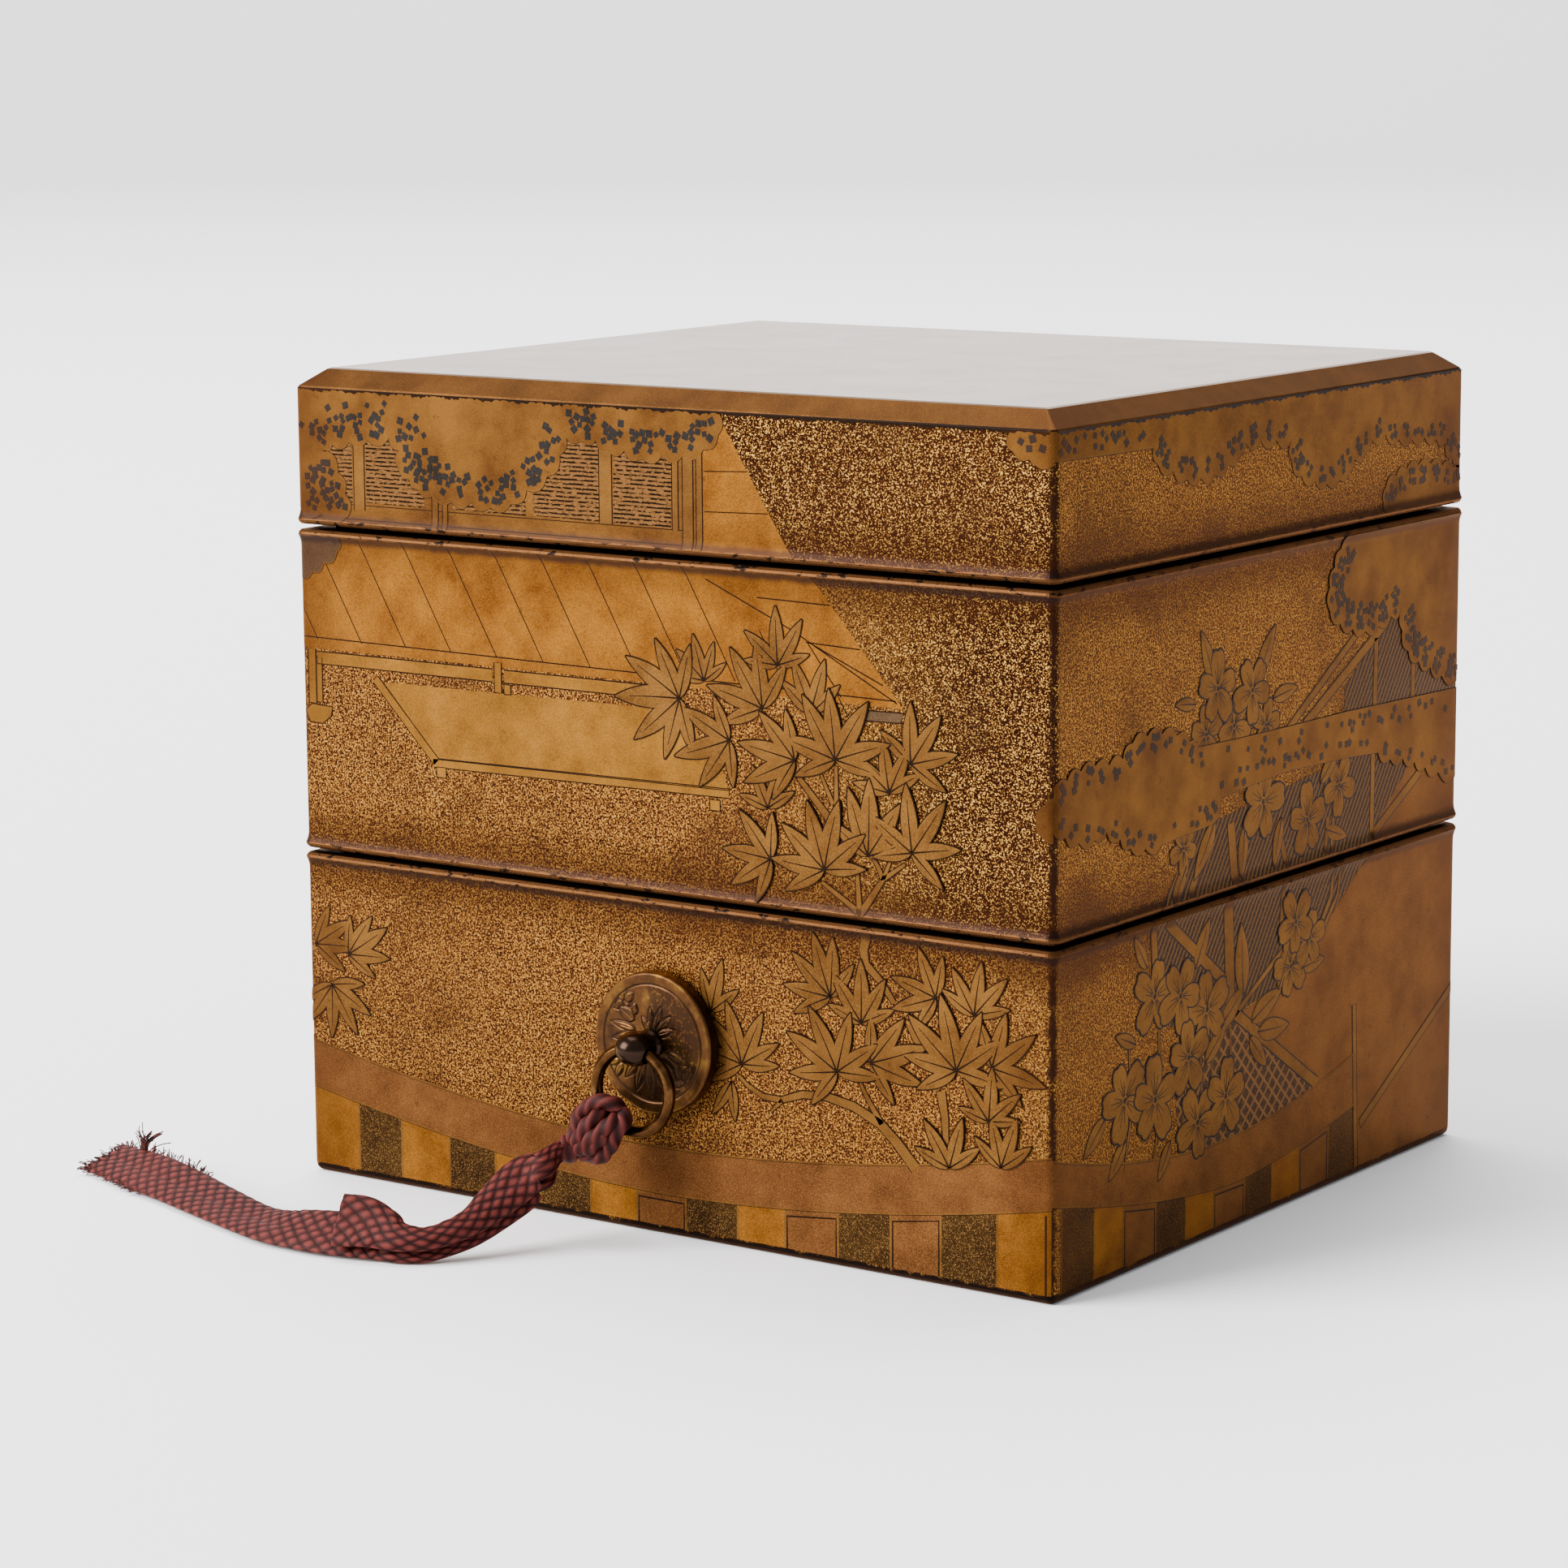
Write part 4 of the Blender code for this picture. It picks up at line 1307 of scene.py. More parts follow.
    def torus(self, wire_radius: float, around: int, sides: int, worn: float = 0.0) -> np.ndarray:
        """Return the points of a ring of round wire.

        Args:
            wire_radius: Radius of the wire.
            around: Steps round the ring.
            sides: Steps round the wire.
            worn: How uneven the wire is, as a share of its radius.

        Returns:
            Array of around by sides by 3.
        """
        angle = np.linspace(0, 2 * np.pi, around, endpoint=False)
        turn = np.linspace(0, 2 * np.pi, sides, endpoint=False)
        aside = np.array((math.cos(self.ring_turn), math.sin(self.ring_turn), 0.0))
        depth = np.array((-math.sin(self.ring_turn), math.cos(self.ring_turn), 0.0))
        outward = np.cos(angle)[:, None] * aside + np.sin(angle)[:, None] * np.array((0.0, 0.0, 1.0))
        size = wire_radius * (1 + worn * (np.sin(3 * angle + 1) * 0.5 + np.sin(11 * angle) * 0.25))
        reach = self.ring_radius + size[:, None] * np.cos(turn)[None, :]
        return (
            self.ring_centre()
            + outward[:, None, :] * reach[..., None]
            + depth[None, None, :] * (size[:, None] * np.sin(turn)[None, :])[..., None]
        )

    def ring(self, metal: bpy.types.Material) -> bpy.types.Object:
        """Make the ring.

        Args:
            metal: Its material.

        Returns:
            The ring.
        """
        points = self.torus(self.wire_radius, 160, 28, worn=0.03)
        piece = new_object("worn_ring", shell_mesh("ring", points, closed_rows=True), [metal])
        dress(piece, "pull_ring")
        return piece

    def stud(self, metal: bpy.types.Material) -> bpy.types.Object:
        """Make the pierced stud with a smooth head.

        Args:
            metal: Its material.

        Returns:
            The stud.
        """
        back = self.plate_thickness + self.plate_dome + self.plate_gap
        middle = back + self.head_standout / 2
        sunk = back - 0.0012
        profile = [(0.0004, sunk), (0.0011, sunk), (0.0011, back), (0.0020, back), (0.0021, back + 0.0003)]
        steps = 26
        for step in range(steps):
            angle = math.radians(self.head_start + (90 - self.head_start) * step / steps)
            standout = middle + self.head_standout / 2 * math.sin(angle)
            if standout > back + 0.0005:
                profile.append((self.head_width / 2 * math.cos(angle), standout))
        profile.append((0.00004, back + self.head_standout))
        rows = np.array(profile)
        angle = np.linspace(0, 2 * np.pi, 72, endpoint=False)
        flat = np.where(rows[:, 1:2] > back + 0.0002, self.head_height / self.head_width, 1.0)
        x = rows[:, :1] * np.cos(angle)
        z = rows[:, :1] * np.sin(angle) * flat
        points = np.stack([x, -rows[:, 1:2] + 0 * x, z], axis=-1) + np.array(self.plate_centre)
        solid = new_object("stud_form", shell_mesh("stud_form", points))
        eye = self.torus(self.wire_radius + self.eye_clearance, 120, 28)
        channel = new_object("stud_channel", shell_mesh("channel", eye, closed_rows=True))
        cut = solid.modifiers.new("eye", "BOOLEAN")
        cut.operation = "DIFFERENCE"
        cut.solver = "EXACT"
        cut.object = channel
        rounded = solid.modifiers.new("worn_lip", "BEVEL")
        rounded.width = 0.00018
        rounded.segments = 2
        rounded.angle_limit = math.radians(35)
        bpy.context.view_layer.update()
        depsgraph = bpy.context.evaluated_depsgraph_get()
        mesh = bpy.data.meshes.new_from_object(solid.evaluated_get(depsgraph))
        bpy.data.objects.remove(solid)
        bpy.data.objects.remove(channel)
        mesh.materials.clear()
        mesh.shade_smooth()
        mesh.set_sharp_from_angle(angle=math.radians(50))
        piece = new_object("dark_stud", mesh, [metal])
        dress(piece, "ring_stud")
        return piece

    def build(self) -> None:
        """Make the plate, the ring and the stud."""
        plate_metal = Patina(
            "plate_patina", (0.010, 0.0032, 0.0014), (0.050, 0.0185, 0.0042), (0.150, 0.0740, 0.0110),
            hollow="hollow", punched=(self.plate_centre[0], self.plate_centre[2], 0.0076),
        )
        ring_metal = Patina(
            "ring_patina", (0.014, 0.0052, 0.0020), (0.052, 0.0225, 0.0075), (0.150, 0.0780, 0.0270),
            roughness=0.24,
            metallic=1.0
        )
        stud_metal = Patina(
            "stud_patina", (0.008, 0.004, 0.003), (0.015, 0.007, 0.005), (0.028, 0.015, 0.011), roughness=0.22
        )
        self.plate(plate_metal.build())
        self.ring(ring_metal.build())
        self.stud(stud_metal.build())
        LOG.info("ring fitting: plate, ring and stud")


PLATE_LEAVES = (
    (0.4, 1.6, 100, 3.2, 1.3), (0.6, 1.6, 72, 3.6, 1.3), (0.9, 1.5, 46, 3.4, 1.3), (1.1, 1.3, 20, 2.6, 1.2),
    (0.1, 1.6, 130, 2.4, 1.1), (-4.2, 5.2, 40, 1.8, 1.5), (-4.4, 5.2, 130, 1.7, 1.4),
    (-4.6, 5.0, 215, 1.8, 1.4), (-4.2, 4.9, 300, 1.7, 1.4), (-3.0, 3.4, 75, 1.8, 1.6),
    (-2.6, 2.8, 150, 3.0, 2.0), (-2.4, 1.6, 172, 4.2, 1.1), (-2.4, 0.9, 192, 4.0, 1.2),
    (-2.6, 0.2, 212, 3.2, 1.1), (-1.6, -2.0, 228, 4.0, 1.5), (-1.0, -2.2, 250, 4.6, 1.6),
    (-0.2, -2.3, 272, 4.8, 1.6), (0.7, -2.2, 294, 4.4, 1.5), (1.5, -1.8, 318, 4.2, 1.5),
    (2.6, -0.8, 338, 3.8, 1.2), (4.4, -4.2, 100, 2.6, 1.1), (4.8, -4.4, 60, 2.2, 1.0),
    (3.2, -5.2, 20, 2.4, 1.0), (-4.8, -3.2, 240, 2.4, 1.2), (-5.2, -2.8, 200, 2.2, 1.1),
)


# Painted walls

# How far a skirt sinks, a leaf swells and one leaf lies over the next, in millimetres
SUNK = -0.03
LEAF_SWELL = 0.036
LEAF_STEP = 0.016


class Wall(Enum):
    """The four walls, by the turn in degrees that brings the front wall to them."""

    FRONT = 0
    RIGHT = 90
    BACK = 180
    LEFT = 270

    def half(self) -> float:
        """Return half the wall's width in millimetres."""
        return HALVES[self in (Wall.RIGHT, Wall.LEFT)]

    def frame(self, u: float, w: float) -> tuple[Vector, Vector]:
        """Return a place on the wall and the wall's outward direction there.

        Args:
            u: Distance along the wall from its middle, to the right as one faces it, in millimetres.
            w: Height above the table in millimetres.

        Returns:
            The place in millimetres and the direction.
        """
        turn = math.radians(self.value)
        along = Vector((math.cos(turn), math.sin(turn), 0.0))
        outward = Vector((math.sin(turn), -math.cos(turn), 0.0))
        distance = HALVES[self in (Wall.FRONT, Wall.BACK)]
        flat = self.half() - CORNER_RADIUS
        side = math.copysign(1.0, u)
        bend = min(max(abs(u) - flat, 0.0) / CORNER_RADIUS, math.pi / 4)
        reach = side * (min(abs(u), flat) + CORNER_RADIUS * math.sin(bend))
        sunk = distance - CORNER_RADIUS * (1 - math.cos(bend))
        direction = outward * math.cos(bend) + along * side * math.sin(bend)
        rise = min(abs(w - joint) for joint in JOINTS)
        flare = float(np.interp(rise, FLARE_RISES, FLARE_STANDOUTS))
        return along * reach + outward * sunk + direction * flare + Vector((0, 0, w)), direction


class Tone(Enum):
    """The finishes of the pictures, by their place in the slots."""

    LEAF = 0
    DARK = 1
    PLANK = 2
    PALE = 3
    BAND = 4
    SPECKLE = 5
    CLOUD = 6
    BLIND = 7
    HATCH = 8
    LATTICE = 9
    GREY = 10


@dataclass(frozen=True)
class LineWork:
    """Fine lines drawn over a dark or gold ground."""

    name: str
    ground: Colour
    line: Colour
    slopes: tuple[float, ...]
    period: float
    share: float
    broken: float = 0.0

    def build(self) -> bpy.types.Material:
        """Make the material.

        Returns:
            The material.
        """
        s = Shader(self.name)
        across = s.plus(s.axis(0), s.axis(1))
        colour: Any = self.ground
        fine = s.noise(2600, 2.0, 0.6)
        colour = s.mix(s.times(s.step(fine, 0.5, 0.66), 0.5), colour, self.line)
        for slope in self.slopes:
            turned = s.less(s.axis(2), s.times(across, slope))
            scale = math.sqrt(1 + slope * slope) * self.period
            bent = s.plus(turned, s.times(s.noise(300, 2.0), self.period * 0.25))
            wave = s.math("PINGPONG", s.math("DIVIDE", bent, scale), 0.5)
            mask = s.step(wave, self.share / 2 + 0.06, self.share / 2 - 0.04)
            if self.broken:
                gaps = s.noise(1500, 1.0, 0.5, s.stretched((1.0, 1.0, 3.0)))
                gaps = s.step(gaps, self.broken, self.broken + 0.06)
                mask = s.times(mask, gaps)
            colour = s.mix(mask, colour, self.line)
        return s.finish(colour, 0.42, s.bump(fine, 0.3, 0.00004), Metallic=0.3, **GOLD_SHEEN)


def picture_tones() -> list[bpy.types.Material]:
    """Return the finishes of the pictures, in the order of the tones.

    Returns:
        The materials.
    """
    gold_dark, gold_light = (0.048, 0.019, 0.0055), (0.110, 0.048, 0.0140)
    black = (0.003, 0.0015, 0.001)
    return [
        PlainGold("leaf_gold", (0.060, 0.0240, 0.0052), (0.120, 0.054, 0.0120), speckle=0.30).build(),
        PlainGold("dark_line", black, (0.006, 0.002, 0.001), speckle=0.05, metallic=0.0).build(),
        PlainGold("plank_gold", (0.086, 0.0275, 0.0034), (0.176, 0.068, 0.0080), speckle=0.35).build(),
        PlainGold("pale_gold", (0.100, 0.0400, 0.0056), (0.182, 0.080, 0.0115), speckle=0.30).build(),
        PlainGold("band_gold", (0.058, 0.0205, 0.0058), (0.112, 0.043, 0.0120), speckle=0.40).build(),
        PlainGold("speckled_check", (0.006, 0.0034, 0.0014), (0.036, 0.0180, 0.0050), speckle=0.70).build(),
        PlainGold("cloud_gold", (0.050, 0.0185, 0.0040), (0.116, 0.049, 0.0095), speckle=0.25).build(),
        LineWork(
            "blind_weave", gold_light, (0.003, 0.0018, 0.0008), (0.0,), 0.00056, 0.44, broken=0.40
        ).build(),
        LineWork(
            "hatching", (0.0062, 0.0044, 0.0028), (0.078, 0.036, 0.0110), (1.35,), 0.00085, 0.36
        ).build(),
        LineWork("lattice", (0.012, 0.0065, 0.0030), gold_light, (0.95, -0.95), 0.0016, 0.22).build(),
        PlainGold(
            "grey_wash", (0.026, 0.0160, 0.0090), (0.056, 0.033, 0.0170), speckle=0.3, metallic=0.1
        ).build(),
    ]


def face_outward(form: bmesh.types.BMesh) -> None:
    """Turn every separate flat form so that it faces away from the wall.

    Args:
        form: The forms, with their height along Z.
    """
    bmesh.ops.recalc_face_normals(form, faces=form.faces)
    left = set(form.faces)
    while left:
        island, waiting = [], [left.pop()]
        while waiting:
            island.append(waiting.pop())
            beside = {face for side in island[-1].edges for face in side.link_faces} & left
            left -= beside
            waiting.extend(beside)
        if sum(face.normal.z * face.calc_area() for face in island) < 0:
            bmesh.ops.reverse_faces(form, faces=island)


class Picture:
    """Low relief on the walls of one tier, gathered into one mesh."""

    def __init__(self, name: str, low: float, high: float) -> None:
        """Start an empty picture.

        Args:
            name: The piece's name.
            low: Lowest height it reaches, in millimetres.
            high: Highest height it reaches, in millimetres.
        """
        self.name = name
        self.limits = (low, high)
        self.forms = {wall: bmesh.new() for wall in Wall}

    def strip(
        self, wall: Wall, rows: Sequence[Sequence[Place3]], tone: Tone, side: Tone | None = None
    ) -> None:
        """Add a strip of quads with a skirt down to the wall round it.

        Args:
            wall: The wall.
            rows: Rows of places (along, up, height), all of the same length.
            tone: The finish.
            side: The skirt's finish, or None for the same.
        """
        form = self.forms[wall]
        grid = [[form.verts.new(place) for place in row] for row in rows]
        rim = [*grid[0], *(row[-1] for row in grid[1:-1]), *reversed(grid[-1])]
        rim += [row[0] for row in reversed(grid[1:-1])]
        foot = [form.verts.new((vert.co.x, vert.co.y, SUNK)) for vert in rim]
        faces = []
        for lower, upper in zip(grid, grid[1:]):
            for i in range(len(lower) - 1):
                faces.append(form.faces.new((lower[i], lower[i + 1], upper[i + 1], upper[i])))
        for face in faces:
            face.material_index = tone.value
        for i in range(len(rim)):
            j = (i + 1) % len(rim)
            form.faces.new((rim[j], rim[i], foot[i], foot[j])).material_index = (side or tone).value

    def area(
        self, wall: Wall, outline: Sequence[Point2], tone: Tone, height: float, side: Tone | None = None
    ) -> None:
        """Add a flat area with a skirt down to the wall.

        Args:
            wall: The wall.
            outline: Its corners in order, in millimetres.
            tone: The finish.
            height: How far it stands out, in millimetres.
            side: The skirt's finish, or None for the same.
        """
        form = self.forms[wall]
        points = [Vector(point) for point in outline]
        places, _, triangles, *_ = delaunay_2d_cdt(points, [], [list(range(len(points)))], 1, 1e-4)
        rim = [form.verts.new((*place, height)) for place in places]
        foot = [form.verts.new((*place, SUNK)) for place in places]
        faces = [form.faces.new([rim[i] for i in triangle]) for triangle in triangles]
        sides = {(a, b) for t in triangles for a, b in zip(t, [*t[1:], t[0]])}
        for face in faces:
            face.material_index = tone.value
        for a, b in sorted(sides):
            if (b, a) not in sides:
                form.faces.new((rim[a], foot[a], foot[b], rim[b])).material_index = (side or tone).value
        for vert in [*rim, *foot]:
            if not vert.link_faces:
                form.verts.remove(vert)

    def stroke(
        self, wall: Wall, path: Sequence[Point2], width: float, tone: Tone, height: float, tip: float = 1.0
    ) -> None:
        """Draw a line of a given width.

        Args:
            wall: The wall.
            path: Its places in order, in millimetres.
            width: Its width at the start.
            tone: The finish.
            height: How far it stands out.
            tip: Width at the end as a share of that at the start.
        """
        points = np.array(path, float)
        along = unit(np.gradient(points, axis=0))
        aside = np.stack([-along[:, 1], along[:, 0]], axis=1)
        share = np.linspace(1.0, tip, len(points))[:, None] * width / 2
        left, right = points + aside * share, points - aside * share
        rows = [((*a, height), (*b, height)) for a, b in zip(left.tolist(), right.tolist())]
        self.strip(wall, [list(reversed(row)) for row in reversed(rows)], tone)

    def bordered(self, wall: Wall, outline: Sequence[Point2], tone: Tone, height: float) -> None:
        """Add a flat area with a dark line round it."""
        self.area(wall, outline, tone, height)
        self.stroke(wall, [*outline, outline[0]], 0.16, Tone.DARK, height + 0.008)

    def pole(
        self, wall: Wall, path: Sequence[Point2], width: float, border: float, heights: Point2,
        tips: Point2 = (1.0, 1.0)
    ) -> None:
        """Draw a gold line over a dark one that is wider by the border."""
        self.stroke(wall, path, width + border, Tone.DARK, heights[0], tips[0])
        self.stroke(wall, path, width, Tone.LEAF, heights[1], tips[1])

    def lobe(self, wall: Wall, root: Point2, angle: float, size: Point2, height: float) -> None:
        """Add one pointed leaf lobe with a dark edge and a midrib.

        Args:
            wall: The wall.
            root: Where it starts.
            angle: Its direction in degrees, 0 to the right and 90 up.
            size: Its length and its greatest width.
            height: How far its edge stands out.
        """
        length, width = size
        turn = math.radians(angle)
        bend = 0.05 * math.sin(angle * 0.37 + root[0])
        shares = np.linspace(0.0, 1.0, 10)

        def place(share: float, side: float, up: float) -> Place3:
            """Return a place on the lobe.

            Args:
                share: Share of the lobe's length from its root.
                side: Distance from its middle line in millimetres, to either side.
                up: How far it stands out in millimetres.

            Returns:
                The place.
            """
            run = share * length
            off = side + bend * length * share * share
            u = root[0] + run * math.cos(turn) - off * math.sin(turn)
            w = root[1] + run * math.sin(turn) + off * math.cos(turn)
            return (u, w, up)

        def half(share: float, more: float) -> float:
            """Return half the lobe's width at a share of its length."""
            return (width / 2) * max(math.sin(math.pi * share**0.8), 0.0) ** 0.85 + more

        outer = [[place(t * 1.02, side * half(t, 0.16), height - 0.006) for side in (1, -1)] for t in shares]
        self.strip(wall, outer[::-1], Tone.DARK)
        rows = []
        for t in shares:
            swell = LEAF_SWELL * math.sin(math.pi * min(max(t, 0.03), 0.97)) ** 0.5
            edge = half(t, 0.02)
            sides = ((1.0, 0.0), (0.62, 0.8), (0.12, 1.0), (-0.12, 1.0), (-0.62, 0.8), (-1.0, 0.0))
            rows.append([place(t, edge * side, height + swell * up) for side, up in sides])
        self.strip(wall, rows[::-1], Tone.LEAF, Tone.DARK)
        rib = [
            [
                place(t, side * 0.10 * (1.2 - t), height + LEAF_SWELL + 0.004) for side in (1, -1)
            ] for t in shares[:8]
        ]
        self.strip(wall, rib[::-1], Tone.DARK)

    def leaf(self, wall: Wall, leaf: tuple[float, float, float, float, float, int], height: float) -> None:
        """Add a maple leaf.

        Args:
            wall: The wall.
            leaf: Its middle (along, up), its size, its first and last lobes' directions and its lobes.
            height: How far it stands out.
        """
        u, w, size, first, last, lobes = leaf
        for k in range(lobes):
            rel = (2 * k / (lobes - 1)) - 1
            angle = first + (last - first) * k / (lobes - 1) + 3.0 * math.sin(u * 3 + k * 2.1)
            length = size * (1 - 0.27 * rel * rel) * (1 + 0.05 * math.sin(w * 5 + k * 1.7))
            order = abs(rel)
            self.lobe(wall, (u, w), angle, (1.05 * length, 0.29 * length), height + 0.012 * (1 - order))

    def spray(
        self, wall: Wall, leaves: Sequence[tuple[float, float, float, float, float, int]], low: float
    ) -> None:
        """Add maple leaves one over the other."""
        for k, leaf in enumerate(leaves):
            self.leaf(wall, leaf, low + LEAF_STEP * k)

    def flower(self, wall: Wall, middle: Point2, size: float, turn: float, height: float) -> None:
        """Add a flower of five notched petals.

        Args:
            wall: The wall.
            middle: Its middle.
            size: Length of a petal.
            turn: Direction of its first petal in degrees.
            height: How far it stands out.
        """
        for k in range(5):
            angle = math.radians(turn + 72 * k + 5 * math.sin(turn + k))
            length = size * (1 + 0.08 * math.sin(2 * k + turn))
            ring = []
            for step in range(18):
                t = 2 * math.pi * step / 18
                run = (
                    length * (0.52 - 0.48 * math.cos(t)) * (1 - 0.10 * math.exp(-((t - math.pi) ** 2) / 0.12))
                )
                ring.append((run, 0.36 * length * math.sin(t) * (0.72 + 0.28 * (1 - math.cos(t)) / 2)))

            def turned(scale: float) -> list[Point2]:
                """Return the petal's outline, scaled about its middle.

                Args:
                    scale: The scale.

                Returns:
                    The outline.
                """
                mid = length * 0.5
                out = []
                for run, side in ring:
                    r, q = mid + (run - mid) * scale, side * scale
                    out.append(
                        (
                            middle[0] + r * math.cos(angle) - q * math.sin(angle),
                            middle[1] + r * math.sin(angle) + q * math.cos(angle),
                        )
                    )
                return out

            self.area(wall, turned(1.09), Tone.DARK, height + 0.003 * k)
            self.area(wall, turned(0.97), Tone.LEAF, height + 0.008 + 0.003 * k, Tone.DARK)
            for off in (-16, 0, 16):
                way = angle + math.radians(off)
                inner, outer = 0.12 * length, (0.62 if off == 0 else 0.48) * length
                path = [
                    (middle[0] + r * math.cos(way), middle[1] + r * math.sin(way))
                    for r in np.linspace(inner, outer, 3).tolist()
                ]
                self.stroke(wall, path, 0.17, Tone.DARK, height + 0.026, tip=0.3)

    @staticmethod
    def scallops(edge: Sequence[Point2]) -> list[Point2]:
        """Return a line of scallops that bulge to the right of the way along it.

        Args:
            edge: Where the scallops meet; longer stretches stay straight.

        Returns:
            The line.
        """
        line: list[Point2] = []
        for start, end in zip(edge, edge[1:]):
            a, b = Vector(start), Vector(end)
            chord = b - a
            depth = 0.26 if chord.length < 6.5 else 0.0
            outward = Vector((chord.y, -chord.x)) * depth
            for k in range(7):
                line.append(tuple(a + chord * (k / 7) + outward * math.sin(math.pi * k / 7)))
        line.append(tuple(edge[-1]))
        return line

    def cloud(
        self, wall: Wall, edge: Sequence[Point2], rest: Sequence[Point2], height: float,
        tone: Tone = Tone.CLOUD
    ) -> list[Point2]:
        """Add a cloud with a scalloped edge.

        Args:
            wall: The wall.
            edge: Where its scallops meet, in order; they bulge to the right of the way from one to the next.
            rest: The other corners of the cloud, from the edge's end back to its start.
            height: How far it stands out.
            tone: The finish.

        Returns:
            The scalloped line.
        """
        line = self.scallops(edge)
        self.area(wall, [*line, *rest], tone, height, Tone.DARK)
        self.pole(wall, line, 0.14, 0.16, (height - 0.010, height + 0.012))
        return line

    def build(self, tones: Sequence[bpy.types.Material]) -> bpy.types.Object:
        """Bend the walls' pictures on to the box as one piece.

        Args:
            tones: The finishes in the order of the tones.

        Returns:
            The piece.
        """
        low, high = self.limits
        whole = bmesh.new()
        for wall, form in self.forms.items():
            face_outward(form)
            flat = wall.half() - CORNER_RADIUS
            edge = flat + CORNER_RADIUS * math.pi / 4
            cuts = [((low, 1), "inner"), ((high, 1), "outer"), ((-edge, 0), "inner"), ((edge, 0), "outer")]
            cuts += [((side * (flat + 0.26 * k), 0), "") for side in (-1, 1) for k in range(3)]
            for joint in JOINTS:
                cuts += [((joint + side * rise, 1), "") for side in (-1, 1) for rise in FLARE_RISES]
            for (value, axis), drop in cuts:
                normal = Vector((1, 0, 0)) if axis == 0 else Vector((0, 1, 0))
                bmesh.ops.bisect_plane(
                    form,
                    geom=[*form.verts, *form.edges, *form.faces],
                    plane_co=normal * value,
                    plane_no=normal,
                    clear_outer=drop == "outer",
                    clear_inner=drop == "inner",
                )
            for vert in form.verts:
                place, outward = wall.frame(vert.co.x, vert.co.y)
                vert.co = (place + outward * vert.co.z) * MM
            mesh = bpy.data.meshes.new("wall_part")
            form.to_mesh(mesh)
            form.free()
            whole.from_mesh(mesh)
            bpy.data.meshes.remove(mesh)
        bmesh.ops.triangulate(whole, faces=whole.faces)
        bmesh.ops.dissolve_degenerate(whole, dist=1e-7, edges=whole.edges)
        mesh = bpy.data.meshes.new(self.name)
        whole.to_mesh(mesh)
        whole.free()
        mesh.shade_smooth()
        mesh.set_sharp_from_angle(angle=math.radians(32))
        piece = new_object(self.name, mesh, tones)
        dress(piece)
        LOG.info("%s: %d faces", self.name, len(mesh.polygons))
        return piece


# Scattered foil


class FoilScatter:
    """Small cut squares of grey foil, laid one by one on the clouds."""

    def __init__(self, name: str, seed: int, span: Point2) -> None:
        """Start an empty scatter.

        Args:
            name: The piece's name.
            seed: Seed of its scatter.
            span: Lowest and highest place of a square in millimetres.
        """
        self.name = name
        self.span = span
        self.random = np.random.RandomState(seed)
        self.places: list[Vector] = []
        self.turns: list[Place3] = []

    def lay(self, wall: Wall, u: float, w: float, height: float) -> None:
        """Lay one square.

        Args:
            wall: The wall.
            u: Distance along the wall in millimetres.
            w: Height in millimetres.
            height: How far it stands out in millimetres.
        """
        place, outward = wall.frame(u, w)
        lean = self.random.uniform(0, math.pi / 2)
        turned = Matrix.Rotation(math.atan2(outward.y, outward.x) + math.pi / 2, 3, "Z")
        spin = Matrix.Rotation(lean, 3, "Y")
        self.places.append((place + outward * height) * MM)
        self.turns.append(tuple((turned @ spin).to_euler()))

    def along(self, wall: Wall, line: Sequence[Point2], count: int, depth: Point2, height: float) -> None:
        """Lay squares in a band inside a scalloped line.

        Args:
            wall: The wall.
            line: The line, with the cloud on its left.
            count: Number of squares.
            depth: Nearest and farthest distance from the line.
            height: How far they stand out.
        """
        points = np.array(line)
        kept: list[np.ndarray] = []
        for _ in range(count * 6):
            i = self.random.randint(0, len(points) - 1)
            way = points[i + 1] - points[i]
            if np.hypot(*way) < 1e-6:
                continue
            inward = np.array((-way[1], way[0])) / np.hypot(*way)
            place = points[i] + way * self.random.rand() + inward * self.random.uniform(*depth)
            if any(np.hypot(*(place - other)) < 0.78 for other in kept):
                continue
            if np.min(np.hypot(*(points - place).T)) < depth[0] * 0.8:
                continue
            kept.append(place)
            if len(kept) == count:
                break
        for place in kept:
            if abs(place[0]) < wall.half() - 0.8 and self.span[0] < place[1] < self.span[1]:
                self.lay(wall, float(place[0]), float(place[1]), height)

    def build(self) -> bpy.types.Object:
        """Make the squares.

        Returns:
            The piece.
        """
        tree = GeometryTree(
            self.name,
            (("Size", "NodeSocketFloat"), ("Seed", "NodeSocketInt"), ("Material", "NodeSocketMaterial"))
        )
        start = tree.start
        size = tree.add("ShaderNodeCombineXYZ", {0: start["Size"], 1: 0.00003, 2: start["Size"]})
        square = tree.add("GeometryNodeMeshCube", {"Size": size.outputs[0]}).outputs["Mesh"]
        grown = tree.add(
            "FunctionNodeRandomValue", {2: 0.78, 3: 1.12, "Seed": start["Seed"]}, data_type="FLOAT"
        )
        squares = {"Points": start["Geometry"], "Instance": square, "Rotation": tree.turned()}
        laid = tree.add("GeometryNodeInstanceOnPoints", {**squares, "Scale": grown.outputs[1]})
        tree.close(laid.outputs[0])
        greys = ((0.0055, 0.0060, 0.0062), (0.0125, 0.0130, 0.0130))
        foil = PlainGold("grey_foil", *greys, speckle=0.10, metallic=0.3).build()
        mesh = points_mesh(f"{self.name}_seeds", self.places, self.turns)
        piece = tree.apply(self.name, mesh, {"Size": 0.00088, "Seed": 3, "Material": foil})
        dress(piece)
        LOG.info("%s: %d squares", self.name, len(self.places))
        return piece


# Pictures of the three tiers


